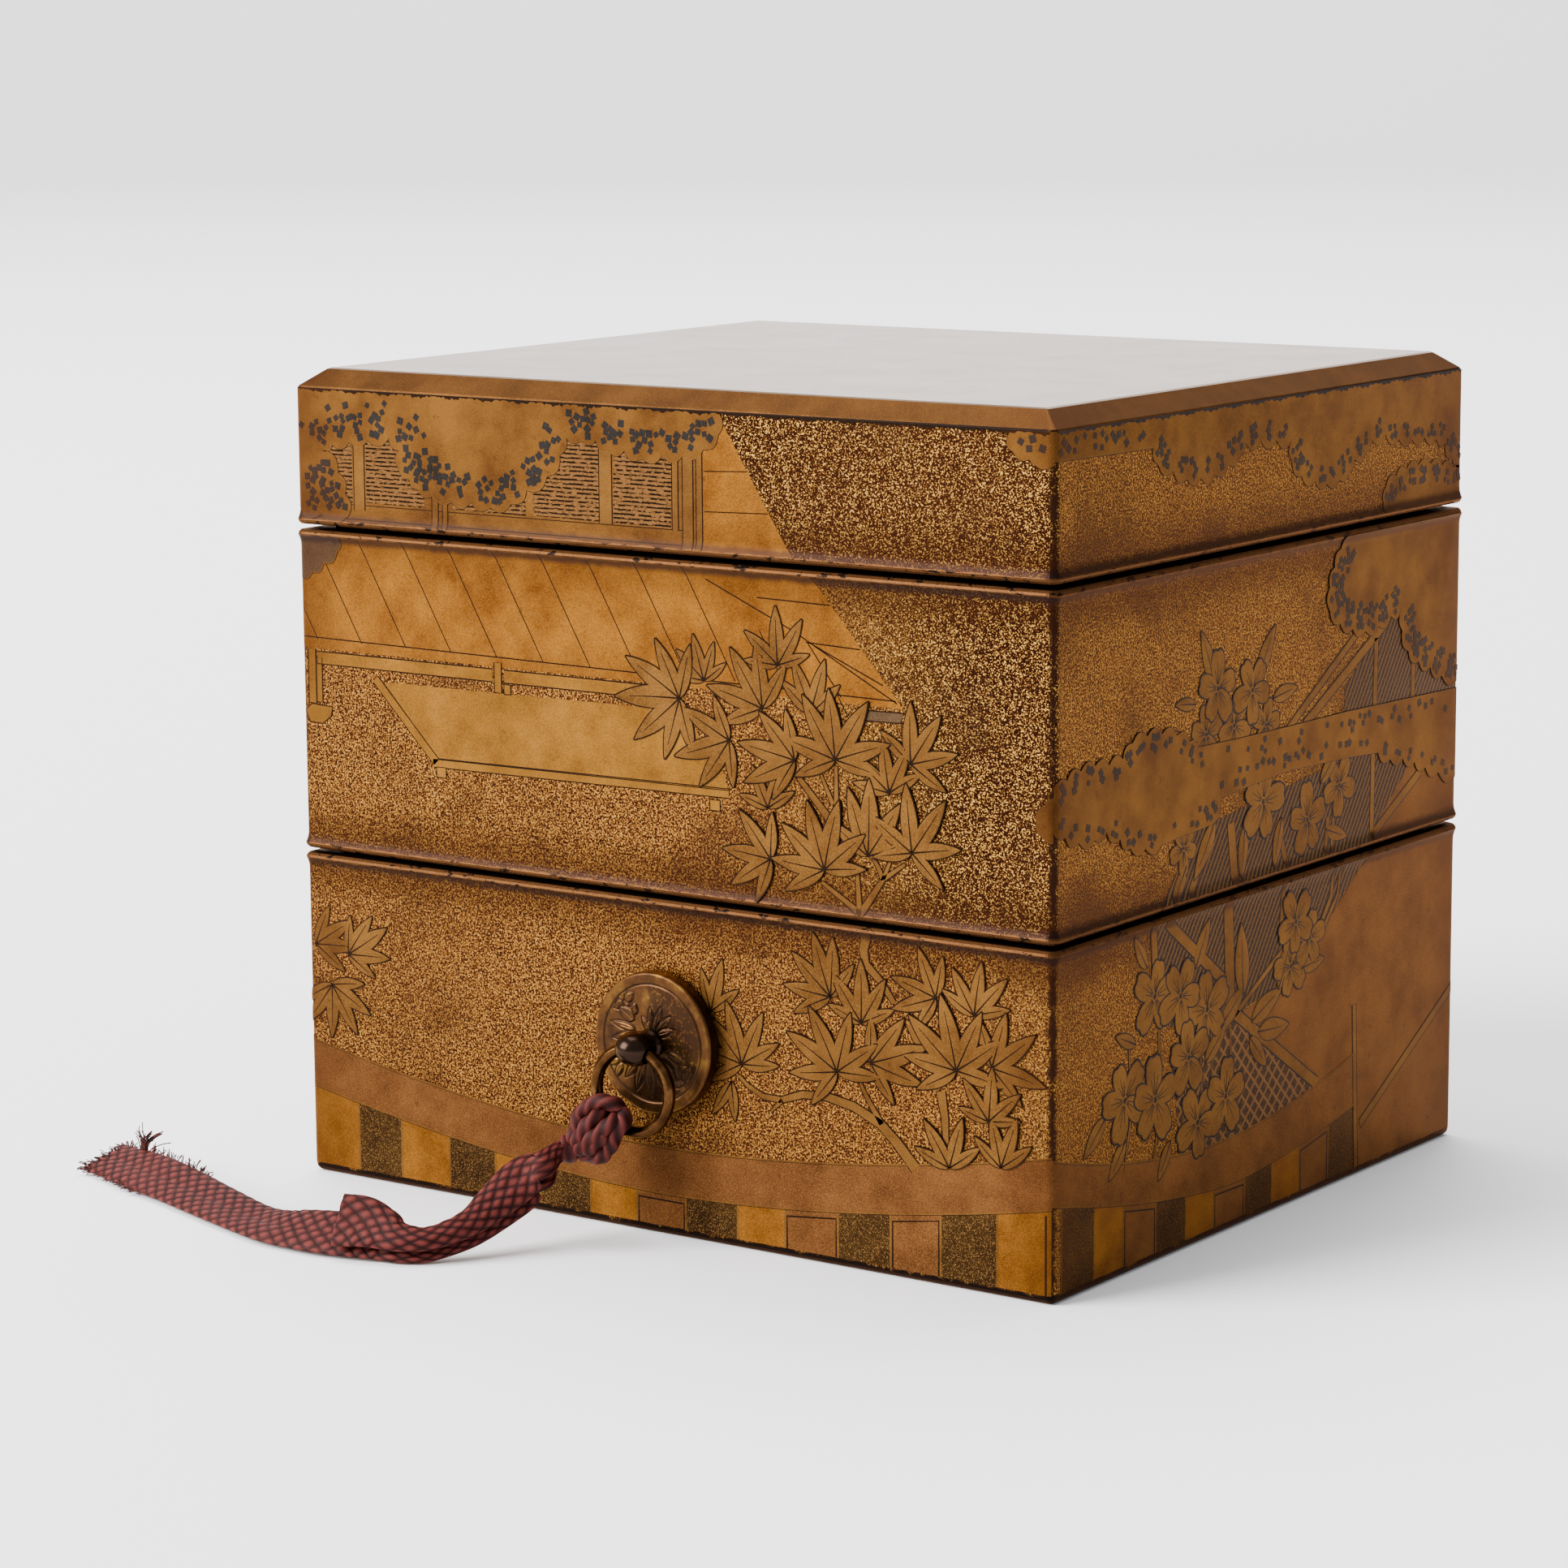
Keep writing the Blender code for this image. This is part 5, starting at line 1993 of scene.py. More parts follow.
@dataclass(frozen=True)
class LidPicture:
    """A house with blinds behind clouds, and clouds along the other walls."""

    ground: float = 0.02
    cloud_height: float = 0.06

    def house(self, picture: Picture) -> None:
        """Add the house on the front wall.

        Args:
            picture: The tier's picture.
        """
        wall, low = Wall.FRONT, self.ground
        picture.area(wall, [(-59.8, 90.2), (7.6, 90.2), (7.6, 105.5), (-59.8, 105.5)], Tone.CLOUD, low)
        for left, right, top in (
            (-54.5, -50.2, 101), (-47.8, -37.8, 102.5), (-33, -20.8, 97), (-19.6, -8.8, 104.8)
        ):
            picture.area(
                wall, [(left, 92.9), (right, 92.8), (right, top), (left, top)], Tone.BLIND, low + 0.012
            )
        picture.area(wall, [(-6.5, 92.8), (2.7, 92.6), (2.9, 103.0), (-6.4, 103.0)], Tone.BLIND, low + 0.012)
        posts = (
            (-49.0, 1.7, 91.8, 102), (-7.7, 1.9, 92.6, 104), (5.4, 1.5, 90.1, 103.4), (7.2, 0.8, 90.1, 103.2)
        )
        posts += ((-36.0, 0.9, 90.1, 96), (-34.3, 0.7, 90.1, 96), (3.4, 0.8, 92.4, 103))
        for u, width, foot, head in posts:
            picture.pole(wall, [(u, foot), (u, head)], width, 0.34, (low + 0.02, low + 0.034))
        for w in (92.5, 90.6):
            picture.stroke(wall, [(-59.8, w), (4.6, w)], 0.12, Tone.DARK, low + 0.014)
        roof = [(7.7, 90.1), (21.9, 90.1), (20.7, 91.2), (10.4, 107.2), (7.7, 105.0)]
        picture.area(wall, roof, Tone.PLANK, low)
        for start, end in (((8.0, 100.2), (14.6, 100.5)), ((8.0, 95.1), (17.8, 95.4))):
            picture.stroke(wall, [start, end], 0.14, Tone.DARK, low + 0.012)

    def build(self, tones: Sequence[bpy.types.Material]) -> None:
        """Make the lid's picture and its foil.

        Args:
            tones: The finishes, in the order of the tones.
        """
        picture = Picture("lid_picture", 90.06, 107.78)
        foil = FoilScatter("lid_foil", 11, (91.6, 106.9))
        self.house(picture)
        high = self.cloud_height
        line = picture.cloud(Wall.FRONT, LID_CLOUD, [(10.2, 107.75), (-59.9, 107.75)], high)
        foil.along(Wall.FRONT, line, 215, (1.0, 4.3), high + 0.012)
        foil.along(Wall.FRONT, line[:120], 26, (4.0, 6.0), high + 0.012)
        tongue = [(60.5, 104.3), (56.4, 104.4), (54.2, 105.2), (53.3, 106.6), (55.2, 107.7)]
        picture.cloud(Wall.FRONT, tongue[::-1], [(60.5, 107.75)], high)
        for u, w in ((55.2, 106.4), (56.4, 105.6), (56.9, 106.8), (58.3, 105.7)):
            foil.lay(Wall.FRONT, u, w, high + 0.012)
        for wall, lines in (
            (Wall.RIGHT, (RIGHT_LID_CLOUD, RIGHT_LID_LOWER)),
            (Wall.BACK, (BACK_CLOUD,)),
            (Wall.LEFT, (LEFT_CLOUD,)),
        ):
            for k, edge in enumerate(lines):
                top = 107.75 if k == 0 else 90.1
                rest = [(edge[-1][0], top), (edge[0][0], top)]
                line = picture.cloud(wall, edge, rest, high)
                foil.along(wall, line, 120 if k == 0 else 45, (0.9, 3.2), high + 0.012)
        for wall in Wall:
            steps = np.arange(0.6 - wall.half(), wall.half() - 0.6, 0.35)
            worn = (
                0.28
                + 0.16 * np.sin(steps * 1.1) + 0.12 * np.sin(steps * 4.3 + 1) + 0.10 * np.sin(steps * 9.1 + 2)
            )
            lip = high + 0.03
            rows = [[(u, 107.77, lip), (u, 107.77 - max(0.14, depth), lip)] for u, depth in zip(steps, worn)]
            picture.strip(wall, rows[::-1], Tone.DARK)
        picture.build(tones)
        foil.build()


@dataclass(frozen=True)
class MiddlePicture:
    """A roof and a deck behind a maple branch, with clouds and flowers on the side."""

    ground: float = 0.02

    def deck(self, picture: Picture) -> None:
        """Add the roof, the beam and the deck on the front wall.

        Args:
            picture: The tier's picture.
        """
        wall, low = Wall.FRONT, self.ground
        picture.area(wall, [(-59.8, 72.7), (38.1, 72.5), (24.2, 88.1), (-59.8, 88.1)], Tone.PLANK, low)
        for k in range(-1, 11):
            u = -49.2 + 7.72 * k
            top = min(88.1, 73.9 + (24.2 - u) / 0.58) if k > 8 else 88.1
            picture.stroke(wall, [(u, 73.9), (u - (top - 73.9) * 0.58, top)], 0.15, Tone.DARK, low + 0.010)
        lines = (
            ((-59.8, 74.2), (37.0, 73.4)),
            ((8.0, 86.6), (21.5, 81.0), (37.2, 73.1)),
            ((23.5, 79.7), (31.7, 79.4)),
            ((23.8, 79.6), (28.8, 73.2)),
            ((16.0, 84.8), (27.1, 84.6)),
            ((24.7, 79.4), (35.1, 75.2)),
        )
        for line in lines:
            picture.stroke(wall, line, 0.17, Tone.DARK, low + 0.014)
        for left, right in ((-57.1, -26.8), (-24.9, 2.0)):
            strip = [(left, 70.6), (right, 70.6), (right, 72.3), (left, 72.3)]
            picture.bordered(wall, strip, Tone.PALE, low + 0.024)
        picture.bordered(
            wall, [(-26.5, 69.2), (-25.3, 69.2), (-25.3, 73.2), (-26.5, 73.2)], Tone.PALE, low + 0.036
        )
        picture.bordered(
            wall, [(-24.9, 69.1), (-23.8, 69.1), (-23.8, 70.4), (-24.9, 70.4)], Tone.PALE, low + 0.030
        )
        picture.bordered(
            wall, [(-58.7, 65.2), (-57.4, 65.2), (-57.4, 72.6), (-58.7, 72.6)], Tone.PALE, low + 0.030
        )
        picture.bordered(
            wall, [(-57.3, 65.4), (-56.3, 65.4), (-56.3, 71.4), (-57.3, 71.4)], Tone.PALE, low + 0.026
        )
        end = [
            (-59.4, 64.2), (-58.2, 65.1), (-56.6, 65.0), (-54.6, 64.9), (-54.9, 63.6), (-56.4, 62.5),
            (-58.6, 62.6)
        ]
        picture.bordered(wall, end, Tone.PALE, low + 0.034)
        picture.area(
            wall, [(-45.5, 69.0), (-36.2, 59.4), (11.4, 59.4), (10.4, 62.6), (4.0, 69.4)], Tone.PALE, low
        )
        for width, tone, height in ((1.35, Tone.DARK, 0.014), (1.05, Tone.PALE, 0.024)):
            picture.stroke(wall, [(-46.9, 69.3), (-36.6, 59.0)], width, tone, low + height)
            picture.stroke(wall, [(-37.2, 58.9), (11.4, 59.4)], width, tone, low + height)
        picture.stroke(wall, [(-36.8, 59.4), (11.4, 59.8)], 0.13, Tone.DARK, low + 0.030)
        for left in (-36.6, 8.4):
            foot = [(left, 57.0), (left + 1.6, 57.0), (left + 1.6, 58.4), (left, 58.4)]
            picture.bordered(wall, foot, Tone.PALE, low + 0.030)
        picture.bordered(
            wall, [(31.9, 70.6), (37.7, 70.7), (38.2, 72.0), (31.9, 71.9)], Tone.GREY, low + 0.02
        )

    def side(self, picture: Picture, foil: FoilScatter) -> None:
        """Add the clouds, the house and the flowers on the right wall.

        Args:
            picture: The tier's picture.
            foil: The squares of foil, which get those of these clouds.
        """
        wall, low = Wall.RIGHT, self.ground
        picture.area(wall, [(27.0, 45.9), (52.3, 45.9), (52.3, 64.0), (40.0, 60.0)], Tone.BAND, low)
        panel = [(31.7, 75.5), (19.8, 67.9), (19.8, 64.0), (52.3, 63.0), (52.3, 66.5), (38.0, 76.0)]
        picture.area(wall, panel, Tone.HATCH, low + 0.006)
        lower = [
            (-26.9, 45.9), (-19.0, 54.4), (20.0, 58.2), (37.0, 57.0), (37.4, 54.0), (27.2, 46.6), (26.6, 45.9)
        ]
        picture.area(wall, lower, Tone.HATCH, low + 0.006)
        poles = (
            (((4.6, 64.2), (24.4, 75.4)), 1.0),
            (((9.0, 64.2), (31.2, 75.2)), 1.3),
            (((28.2, 64.0), (28.4, 73.4)), 1.0),
            (((38.9, 64.0), (39.1, 70.6)), 1.0),
            (((27.8, 45.9), (27.9, 58.2)), 1.0),
            (((26.6, 45.9), (41.5, 53.4)), 1.2),
            (((14.9, 45.9), (15.6, 50.8)), 0.8),
            (((16.6, 45.9), (17.2, 51.0)), 0.6),
            (((4.8, 45.9), (2.4, 51.6)), 1.0),
            (((-8.8, 45.9), (-9.9, 54.0)), 1.7),
            (((-20.4, 45.9), (-14.6, 54.0)), 1.2),
        )
        for path, width in poles:
            picture.pole(wall, path, width, 0.36, (low + 0.018, low + 0.030))
        for k, (u, w, size, turn) in enumerate(MIDDLE_FLOWERS):
            picture.flower(wall, (u, w), size, turn, low + 0.03 + 0.010 * (k % 6))
        for k, (u, w, size, angle) in enumerate(MIDDLE_BLADES):
            picture.lobe(wall, (u, w), angle, (size, size * 0.32), low + 0.03 + 0.004 * (k % 9))
        high = low + 0.115
        line = picture.cloud(wall, MIDDLE_CLOUD, [(52.3, 88.1), (21.0, 88.1)], high)
        foil.along(wall, line, 135, (0.9, 4.2), high + 0.012)
        top, bottom = LONG_CLOUD_TOP, LONG_CLOUD_LOW
        outline_low = picture.scallops(bottom)
        outline_top = picture.scallops(top[::-1])
        picture.area(wall, [*outline_low, *outline_top], Tone.CLOUD, high + 0.02)
        for edge in (outline_low, outline_top):
            picture.pole(wall, edge, 0.12, 0.14, (high + 0.010, high + 0.030))
            foil.along(wall, edge, 62, (0.7, 2.6), high + 0.032)

    def build(self, tones: Sequence[bpy.types.Material]) -> None:
        """Make the middle tray's picture and its foil.

        Args:
            tones: The finishes, in the order of the tones.
        """
        picture = Picture("middle_picture", 45.92, 88.03)
        foil = FoilScatter("middle_foil", 23, (47.4, 86.9))
        self.deck(picture)
        low = self.ground + 0.03
        for path, width in MIDDLE_TWIGS:
            picture.pole(Wall.FRONT, path, width, 0.3, (low, low + 0.014), (0.7, 0.6))
        picture.spray(Wall.FRONT, MIDDLE_LEAVES, low + 0.02)
        corner = [(-59.9, 82.3), (-57.6, 83.0), (-55.6, 84.4), (-53.2, 86.0), (-52.8, 88.1)]
        picture.cloud(Wall.FRONT, corner, [(-59.9, 88.1)], self.ground + 0.03, Tone.GREY)
        tongue = [(60.5, 63.3), (58.7, 62.2), (57.6, 60.4), (58.6, 58.6), (60.5, 58.2)]
        picture.cloud(Wall.FRONT, tongue, [], self.ground + 0.05)
        self.side(picture, foil)
        picture.spray(Wall.BACK, [(u - 24, w, *rest) for u, w, *rest in MIDDLE_LEAVES[5:]], low + 0.02)
        picture.spray(Wall.LEFT, [(u - 46, w + 30, *rest) for u, w, *rest in LOWER_LEAVES[3:9]], low + 0.02)
        picture.build(tones)
        foil.build()


@dataclass(frozen=True)
class LowerPicture:
    """Maple branches over a hanging curtain with a checked hem."""

    ground: float = 0.02

    def curtain(
        self, picture: Picture, wall: Wall, span: Point2, top: Callable[[float], float],
        low: Callable[[float], float]
    ) -> None:
        """Add the curtain's band.

        Args:
            picture: The picture to add to.
            wall: The wall.
            span: Its left and right ends.
            top: Height of its upper line along the wall.
            low: Height of its lower line along the wall.
        """
        places = np.linspace(span[0], span[1], 41).tolist()
        rows = [[(u, low(u), self.ground + 0.02), (u, top(u), self.ground + 0.02)] for u in places]
        picture.strip(wall, [list(reversed(row)) for row in rows], Tone.BAND)
        for line in (top, low):
            path = [(u, line(u)) for u in places]
            picture.stroke(wall, path, 0.26, Tone.DARK, self.ground + 0.022)
            picture.stroke(wall, [(u, w + 0.05) for u, w in path], 0.20, Tone.LEAF, self.ground + 0.034)

    def checks(
        self, picture: Picture, wall: Wall, span: Point2, pattern: str, low: Callable[[float], float]
    ) -> None:
        """Add the checked hem.

        Args:
            picture: The picture to add to.
            wall: The wall.
            span: Its left and right ends.
            pattern: A letter for each check: P plain, O plain in a dark frame and S speckled.
            low: Height of the band's lower line along the wall.
        """
        step = (span[1] - span[0]) / len(pattern)
        for k, kind in enumerate(pattern):
            left = span[0] + step * k + 0.25 * math.sin(k * 2.3)
            right = span[0] + step * (k + 1) + 0.25 * math.sin((k + 1) * 2.3)
            down = 0.9 if kind == "O" else 0.0
            outline = [(left, 1.2), (right, 1.2), (right, low(right) - down), (left, low(left) - down)]
            tone = Tone.SPECKLE if kind == "S" else (Tone.PLANK if kind == "P" else Tone.BAND)
            picture.area(
                wall, [(left, 1.2), (right, 1.2), (right, low(right)), (left, low(left))], Tone.BAND, 0.012
            )
            picture.area(wall, outline, tone, self.ground)
            if kind == "O":
                inset = [
                    (left + 0.3, 1.2), (left + 0.3, outline[3][1]), (right - 0.3, outline[2][1]),
                    (right - 0.3, 1.2)
                ]
                picture.stroke(wall, inset, 0.24, Tone.DARK, self.ground + 0.012)
            picture.stroke(wall, [(left, 1.2), (left, low(left))], 0.30, Tone.LEAF, self.ground + 0.016)

    def side(self, picture: Picture) -> None:
        """Add the flowers, the lattice and the gold ground on the right wall.

        Args:
            picture: The tier's picture.
        """
        wall, low = Wall.RIGHT, self.ground
        ground = [(25.0, 1.2), (52.3, 1.2), (52.3, 43.9), (26.8, 43.9), (14.2, 35.6), (5.5, 30.6)]
        ground += [(-8.0, 28.4), (13.1, 15.0), (24.0, 17.0)]
        picture.area(wall, ground, Tone.BAND, low)
        hatched = [(-29.4, 43.9), (-25.0, 30.0), (-8.0, 28.6), (5.5, 30.8), (14.2, 35.8), (26.6, 43.9)]
        picture.area(wall, hatched, Tone.HATCH, low + 0.004)
        lattice = [
            (-24.6, 26.6), (-10.9, 28.2), (-7.4, 28.6), (13.4, 14.9), (3.5, 12.2), (-12.0, 11.6),
            (-22.0, 13.4)
        ]
        picture.area(wall, lattice, Tone.LATTICE, low + 0.006)
        bars = (
            (((-8.2, 28.6), (13.3, 15.2)), 1.5),
            (((-29.0, 43.9), (-28.2, 36.0)), 1.3),
            (((-26.0, 43.9), (-11.0, 33.4)), 1.5),
            (((-10.4, 43.9), (-9.6, 28.4)), 2.2),
            (((17.4, 43.9), (16.8, 40.0), (13.8, 36.4)), 0.7),
            (((19.4, 43.9), (18.6, 40.0), (14.6, 35.8)), 0.6),
            (((4.0, 43.9), (3.4, 38.0)), 0.8),
            (((-11.0, 27.2), (1.2, 33.6), (7.6, 36.6)), 0.7),
        )
        for path, width in bars:
            picture.pole(wall, path, width, 0.42, (low + 0.018, low + 0.030))
        for u in (-28.6, -22.3, -15.6, -28.4, -35.7, -18.3, -10.7):
            stem = [(u, 13.5), (u + 1.5, 20.0), (u + 1.0, 30.0)]
            picture.pole(wall, stem, 0.28, 0.22, (low + 0.02, low + 0.03))
        for k, (u, w, size, angle) in enumerate(LOWER_BLADES):
            picture.lobe(wall, (u, w), angle, (size, size * 0.36), low + 0.03 + 0.004 * (k % 9))
        for k, (u, w, size, turn) in enumerate(LOWER_FLOWERS):
            picture.flower(wall, (u, w), size, turn, low + 0.045 + 0.010 * (k % 6))

    def build(self, tones: Sequence[bpy.types.Material]) -> None:
        """Make the lower tray's picture.

        Args:
            tones: The finishes, in the order of the tones.
        """
        picture = Picture("lower_picture", 1.25, 43.88)
        low = self.ground + 0.03
        for path, width in LOWER_TWIGS:
            picture.pole(Wall.FRONT, path, width, 0.3, (low, low + 0.014), (0.6, 0.5))
        picture.spray(Wall.FRONT, LOWER_LEAVES, low + 0.02)
        picture.spray(Wall.FRONT, LEFT_EDGE_LEAVES, low + 0.02)
        self.side(picture)

        def swag(
            middle: float, base: float, rise: float, reach: float, power: float = 1.8
        ) -> Callable[[float], float]:
            """Return the height of a hanging line along a wall."""
            return lambda u: base + rise * abs((u - middle) / reach) ** power

        curtains = (
            (
                Wall.FRONT, (-60.0, 60.0), swag(0, 11.7, 7.0, 60), swag(0, 5.5, 6.7, 60), "PSPSPSPOSPOSOSP",
                59.7
            ),
            (
                Wall.BACK, (-60.0, 60.0), swag(0, 11.9, 6.9, 60), swag(0, 5.7, 6.5, 60), "PSPSPSPSPSPSPSP",
                59.7
            ),
            (Wall.LEFT, (-52.4, 52.4), swag(0, 12.0, 6.9, 52), swag(0, 5.8, 6.6, 52), "SPSPSPSPSPSPS", 52.0),
        )
        for wall, span, top, bottom, pattern, edge in curtains:
            self.curtain(picture, wall, span, top, bottom)
            self.checks(picture, wall, (-edge, edge), pattern, bottom)
        top, bottom = swag(-12, 12.3, 5.9, 40), swag(-8, 6.2, 5.0, 38, 1.6)
        self.curtain(picture, Wall.RIGHT, (-52.4, 24.0), top, bottom)
        self.checks(picture, Wall.RIGHT, (-50.4, 24.0), "SPOSPOSPOS", bottom)
        for path, width in ((((23.6, 24.0), (24.6, 1.2)), 0.9), (((25.6, 7.0), (52.3, 21.6)), 1.1)):
            picture.pole(Wall.RIGHT, path, width, 0.34, (self.ground + 0.03, self.ground + 0.044))
        picture.stroke(Wall.FRONT, [(59.0, 0.8), (59.0, 11.4)], 0.26, Tone.DARK, self.ground + 0.05)
        picture.spray(
            Wall.BACK, [(-u, w, s, 180 - b, 180 - a, n) for u, w, s, a, b, n in LOWER_LEAVES[3:]], low + 0.02
        )
        picture.build(tones)


# Outlines and figures of the pictures, in millimetres along the wall and up it. A leaf has its size,
# its first and last lobes' directions and its number of lobes.

LID_CLOUD = (
    (-59.9, 92.0), (-55.6, 91.0), (-51.0, 91.0), (-51.6, 93.8), (-52.7, 96.6), (-55.3, 99.5), (-53.6, 100.4),
    (-50.6, 100.9), (-47.4, 101.3), (-43.6, 101.9), (-41.9, 100.2), (-42.0, 97.8), (-40.2, 96.6),
    (-38.9, 95.3),
    (-36.2, 94.6), (-33.2, 93.9), (-29.9, 94.1), (-26.6, 93.6), (-23.2, 94.3), (-20.6, 96.2), (-17.2, 98.2),
    (-15.1, 101.0), (-14.2, 103.8), (-11.4, 103.1), (-9.1, 103.3), (-7.0, 101.9), (-4.6, 102.2),
    (-1.7, 101.3),
    (1.4, 101.9), (4.7, 102.0), (7.9, 103.0), (10.2, 104.9), (10.2, 107.75),
)
RIGHT_LID_CLOUD = (
    (-52.6, 104.2), (-42.0, 104.1), (-29.7, 104.0), (-28.6, 101.9), (-24.9, 100.7), (-21.6, 99.4),
    (-18.2, 99.2),
    (-14.6, 99.3), (-11.4, 100.3), (-8.4, 101.4), (-7.1, 102.7), (-3.2, 102.5), (0.8, 102.4), (4.5, 101.7),
    (4.9, 99.3),
    (7.5, 97.1), (11.0, 96.1), (14.2, 95.5), (17.6, 95.7), (20.2, 96.6), (21.6, 98.1), (24.8, 98.7),
    (26.2, 100.3),
    (30.1, 100.6), (33.9, 99.7), (37.6, 99.3), (41.2, 99.3), (44.6, 98.8), (47.2, 98.0), (49.3, 95.6),
    (52.6, 94.6),
)
RIGHT_LID_LOWER = (
    (52.6, 93.4), (49.5, 94.4), (46.4, 94.9), (43.0, 95.4), (39.6, 95.6), (36.2, 95.3), (33.2, 94.7),
    (30.4, 93.4),
    (29.9, 91.4), (30.0, 90.1),
)
BACK_CLOUD = tuple(
    (-60.1 + 3.54 * k, 103.2 - 2.6 * math.sin(k * 0.55) - 1.6 * math.cos(k * 0.21)) for k in range(35)
)
LEFT_CLOUD = tuple(
    (-52.5 + 3.5 * k, 102.8 - 2.4 * math.cos(k * 0.47) + 1.2 * math.sin(k * 0.9)) for k in range(31)
)
MIDDLE_CLOUD = (
    (21.0, 88.1), (18.2, 86.4), (16.6, 84.2), (15.3, 81.6), (15.4, 78.6), (18.2, 76.6), (21.6, 75.5),
    (25.2, 74.8),
    (28.8, 75.0), (32.2, 76.0), (35.2, 76.4), (35.6, 73.6), (37.4, 70.6), (40.4, 68.8), (43.8, 67.6),
    (47.2, 66.0),
    (52.3, 65.2),
)
LONG_CLOUD_TOP = (
    (-52.3, 64.4), (-49.6, 65.2), (-46.4, 65.9), (-43.1, 66.1), (-39.9, 65.7), (-36.6, 66.0), (-34.4, 67.7),
    (-30.9, 68.1), (-27.4, 67.9), (-23.8, 67.2), (-20.6, 66.0), (-18.6, 65.0), (-8.0, 64.7), (6.0, 64.5),
    (20.4, 64.4), (36.0, 64.0), (52.3, 63.6),
)
LONG_CLOUD_LOW = (
    (-52.3, 59.6), (-50.0, 58.4), (-46.8, 57.2), (-43.2, 57.0), (-40.4, 57.6), (-37.2, 56.2), (-34.8, 54.7),
    (-31.2, 54.1), (-27.4, 54.0), (-16.0, 54.6), (-12.6, 57.8), (-5.5, 58.3), (5.4, 58.8), (20.5, 58.3),
    (29.1, 57.8),
    (32.6, 56.4), (36.2, 56.0), (39.6, 55.0), (42.8, 53.8), (46.6, 52.6), (52.3, 51.8),
)
MIDDLE_LEAVES = (
    (7.7, 73.6, 5.6, 36, 175, 5), (24.2, 70.8, 7.4, 40, 140, 4), (19.2, 76.5, 6.9, 15, 177, 5),
    (16.8, 70.8, 8.7, 57, 197, 5), (3.8, 71.0, 9.4, 78, 288, 7), (11.6, 66.3, 8.2, 117, 277, 5),
    (17.6, 58.2, 5.9, 32, 159, 4), (39.3, 65.8, 7.5, -30, 138, 5), (36.1, 61.9, 6.9, 30, 174, 5),
    (21.8, 64.7, 8.4, 100, 237, 5), (28.0, 65.3, 8.9, -12, 198, 7), (32.9, 53.6, 8.9, 22, 146, 5),
    (18.0, 51.7, 7.5, 89, 252, 5), (39.5, 54.7, 8.0, -38, 190, 6), (26.3, 51.2, 8.6, 10, 207, 7),
)
LOWER_LEAVES = (
    (8.3, 30.8, 7.2, 38, 111, 3), (11.4, 22.0, 7.2, -121, -80, 2), (13.1, 24.5, 7.6, -1, 203, 7),
    (27.0, 35.0, 7.8, 51, 204, 6), (42.9, 36.8, 6.8, 77, 241, 5), (31.7, 32.2, 7.4, 24, 157, 5),
    (48.6, 35.3, 6.8, 14, 154, 5), (33.1, 27.3, 8.3, -52, 86, 5), (51.2, 29.0, 7.8, -43, 109, 5),
    (28.0, 25.5, 8.3, -1, 228, 7), (46.0, 28.0, 8.9, -7, 211, 7), (50.8, 22.2, 6.3, 4, 168, 5),
    (52.6, 16.6, 6.7, 32, 140, 4), (45.0, 15.5, 6.9, 33, 162, 4),
)
LEFT_EDGE_LEAVES = (
    (-58.6, 31.9, 7.6, -31, 67, 4), (-52.8, 31.1, 7.4, -26, 86, 5), (-55.8, 26.6, 7.5, -156, 9, 6),
)
MIDDLE_TWIGS = (
    (((31.5, 45.9), (33.4, 48.6), (35.0, 50.8)), 1.0),
    (((35.0, 50.8), (34.4, 52.2), (33.6, 53.3)), 0.7),
    (((35.0, 50.8), (36.1, 53.2)), 0.6),
    (((35.2, 51.0), (38.3, 53.1)), 0.6),
    (((31.5, 45.9), (31.1, 51.6)), 0.8),
    (((31.3, 46.4), (28.1, 48.2), (25.8, 49.5)), 0.7),
    (((28.0, 58.2), (28.0, 64.4)), 0.7),
    (((27.4, 57.2), (22.3, 62.5)), 1.1),
    (((27.5, 59.6), (25.7, 63.2)), 0.6),
)
LOWER_TWIGS = (
    (((39.8, 14.6), (37.0, 17.5), (34.5, 19.6), (30.4, 21.3), (26.3, 22.0), (22.6, 21.8), (19.2, 20.6)), 1.5),
    (((19.2, 20.6), (16.4, 20.7), (14.0, 21.8), (12.6, 22.9)), 0.8),
    (((34.7, 19.6), (32.9, 22.1), (31.5, 24.4)), 0.8),
    (((19.4, 20.6), (17.6, 18.9)), 0.6),
    (((32.6, 43.9), (32.0, 41.6), (32.4, 39.8), (34.6, 37.9), (36.6, 35.4)), 1.4),
    (((43.6, 25.0), (44.2, 21.6), (44.4, 17.5)), 1.3),
    (((39.0, 33.0), (39.8, 31.2), (41.2, 29.6)), 1.1),
)
MIDDLE_FLOWERS = (
    (-16.4, 66.4, 4.2, 20), (-9.4, 66.6, 4.4, 50), (-1.2, 65.6, 4.0, 10), (-13.6, 71.9, 5.0, 18),
    (-4.8, 70.6, 4.9, 54), (-1.8, 55.6, 5.6, -70), (10.0, 51.4, 5.2, -52), (18.6, 54.8, 4.4, -18),
    (-21.8, 52.6, 3.6, 195),
)
MIDDLE_BLADES = (
    (-14.4, 72.4, 8.0, 112), (-3.6, 71.6, 8.2, 58), (-19.0, 70.6, 5.0, 172), (0.6, 68.8, 6.4, 8),
    (-20.0, 64.8, 6.0, 150), (-14.0, 55.0, 8.6, 236), (-6.4, 53.2, 7.2, 262), (3.2, 52.8, 6.8, 250),
    (13.4, 55.8, 7.2, 40), (15.0, 49.4, 6.2, -20), (-21.0, 50.2, 6.6, 232),
)
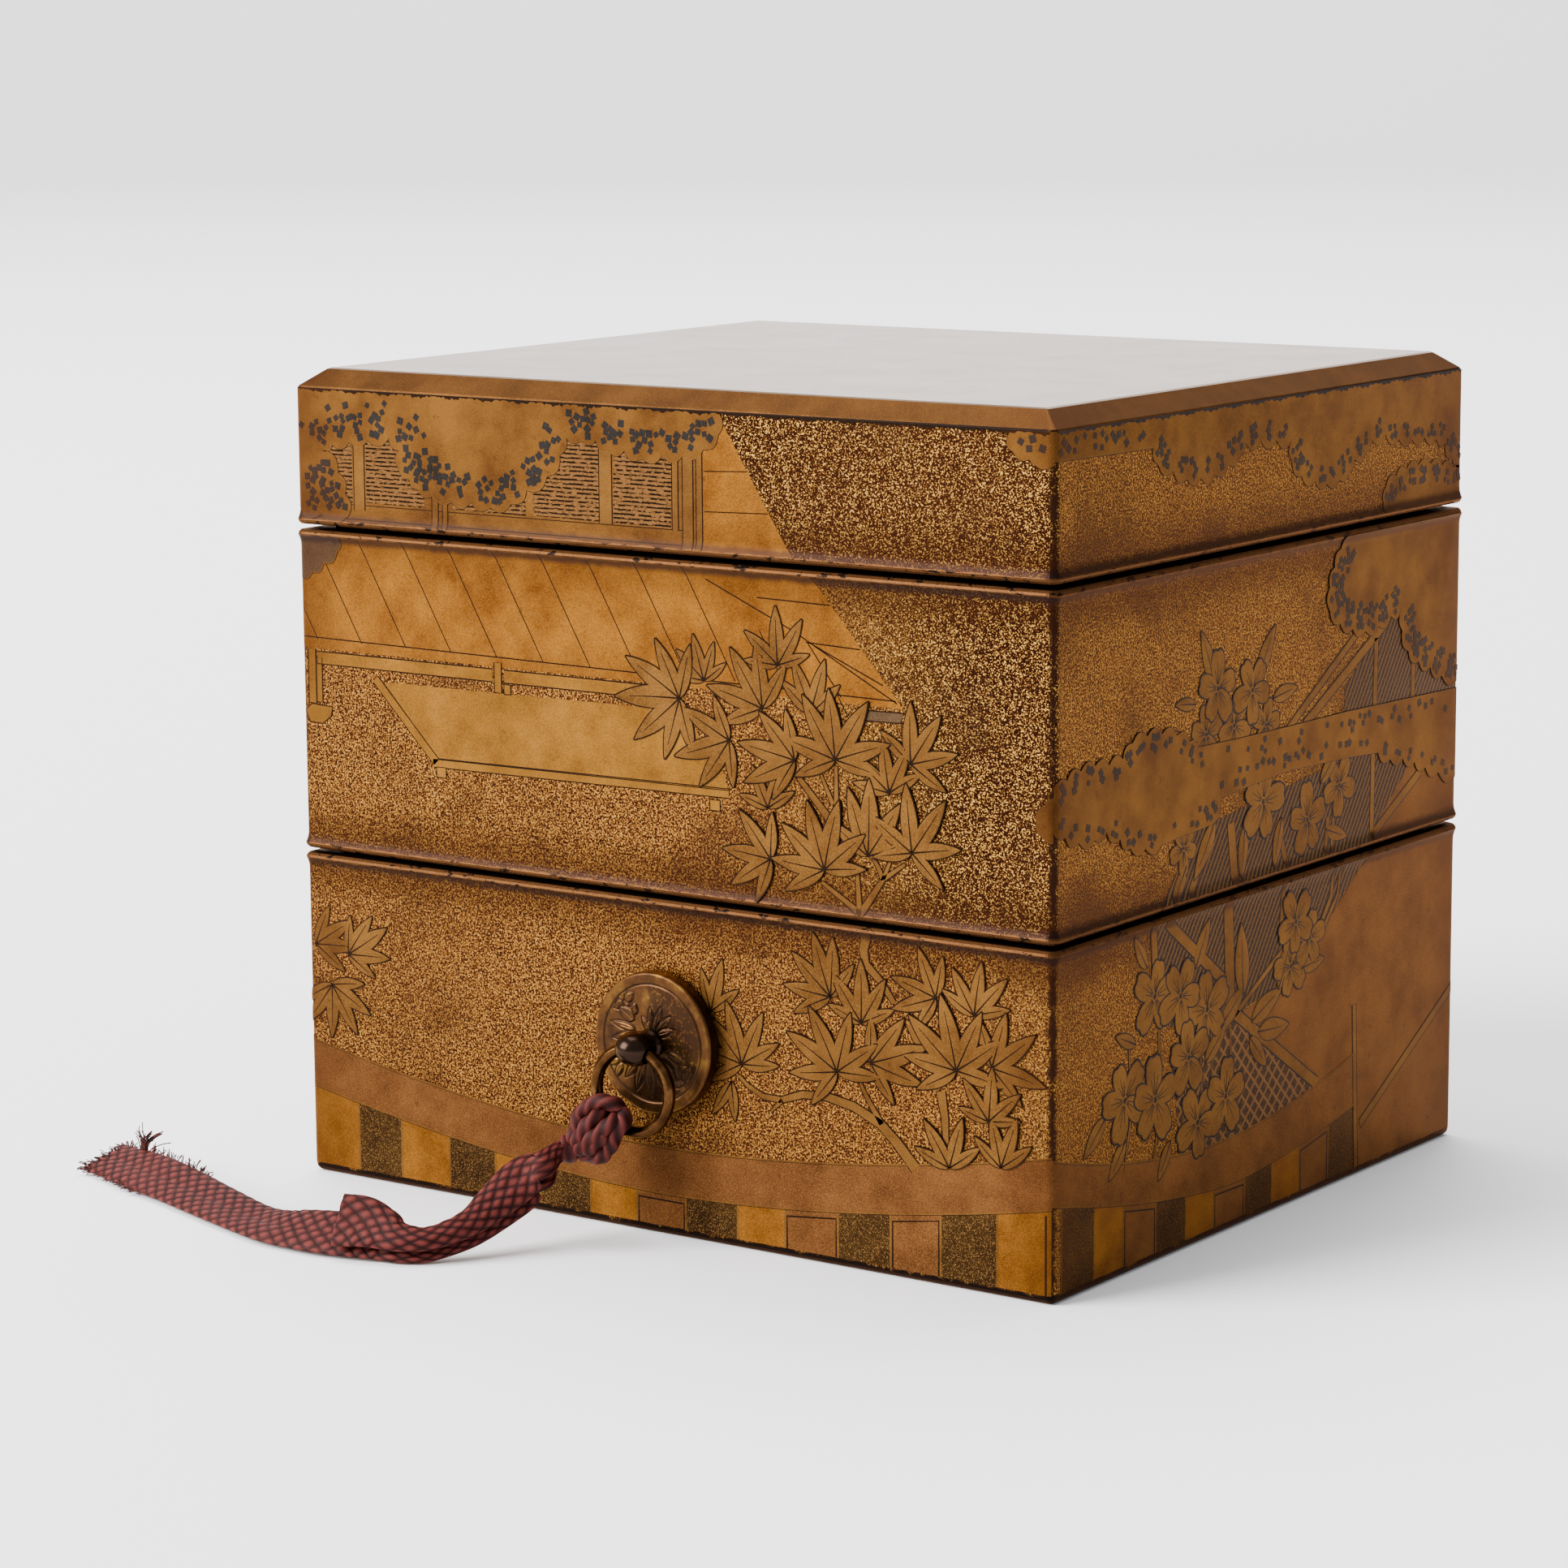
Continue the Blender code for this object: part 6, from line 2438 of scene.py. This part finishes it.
LOWER_FLOWERS = (
    (-28.6, 34.7, 5.4, 80), (-15.6, 30.6, 5.6, 100), (-22.3, 33.6, 5.4, 60), (6.0, 32.4, 4.6, 30),
    (11.0, 35.4, 4.4, 80), (7.2, 38.2, 4.8, 120), (-35.7, 22.7, 5.6, 40), (-17.8, 16.2, 5.4, 55),
    (-10.7, 18.2, 5.6, 85), (-28.4, 21.3, 5.8, 90), (-20.2, 25.2, 5.2, 20),
)
LOWER_BLADES = (
    (-30.4, 38.6, 5.4, 128), (-18.6, 36.4, 7.0, 62), (-12.2, 27.6, 7.6, 34), (-4.2, 26.8, 8.4, 24),
    (-2.4, 25.2, 8.0, -6), (-4.6, 24.8, 6.4, -44), (-6.4, 30.8, 9.6, 96), (2.8, 29.8, 8.2, 62),
    (8.8, 31.6, 6.2, 6), (-40.2, 21.4, 6.6, 218), (-35.4, 17.6, 6.0, 230), (-33.2, 29.4, 5.0, 158),
    (-24.4, 15.2, 5.6, 236), (-16.0, 23.6, 6.6, 40),
)


# Box


@dataclass(frozen=True)
class LacquerBox:
    """The lid and the two trays."""

    lower_joint: float = 0.0449
    lid_joint: float = 0.08905
    top: float = 0.11025

    def build(self) -> None:
        """Give each solid its lacquer."""
        finishes = {
            "lid": FlakeLacquer(
                "lid_lacquer", (self.lid_joint,), polished_top=self.top, coarse=(-0.010, 0.014)
            ),
            "middle_tier": FlakeLacquer(
                "middle_lacquer", (self.lower_joint, self.lid_joint), coarse=(0.012, 0.050)
            ),
            "lower_tier": FlakeLacquer(
                "lower_lacquer", (self.lower_joint,), foot=True, coarse=(0.044, 0.080)
            ),
        }
        for node, finish in finishes.items():
            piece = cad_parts[node]
            piece.data.materials.clear()
            piece.data.materials.append(finish.build())
            LOG.info("lacquered %s", node)
        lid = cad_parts["lid"]
        lid.data.materials.append(PolishedTop().build())
        lid.data.materials.append(
            PlainGold("slope_gold", (0.031, 0.0118, 0.0030), (0.062, 0.0248, 0.0060)).build()
        )
        for face in lid.data.polygons:
            height = face.center.z
            if face.normal.z > 0.9 and height > self.top - 0.0001:
                face.material_index = 1
            elif face.normal.z > 0.3 and height > self.top - 0.0024:
                face.material_index = 2


def main() -> None:
    """Build everything in order."""
    logging.basicConfig(level=logging.INFO, format="%(name)s: %(message)s")
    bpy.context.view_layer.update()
    StudioCamera().build()
    make_cord().build()
    RingFitting().build()
    LacquerBox().build()
    tones = picture_tones()
    LidPicture().build(tones)
    MiddlePicture().build(tones)
    LowerPicture().build(tones)
    Studio().build()


if __name__ == "__main__":
    main()
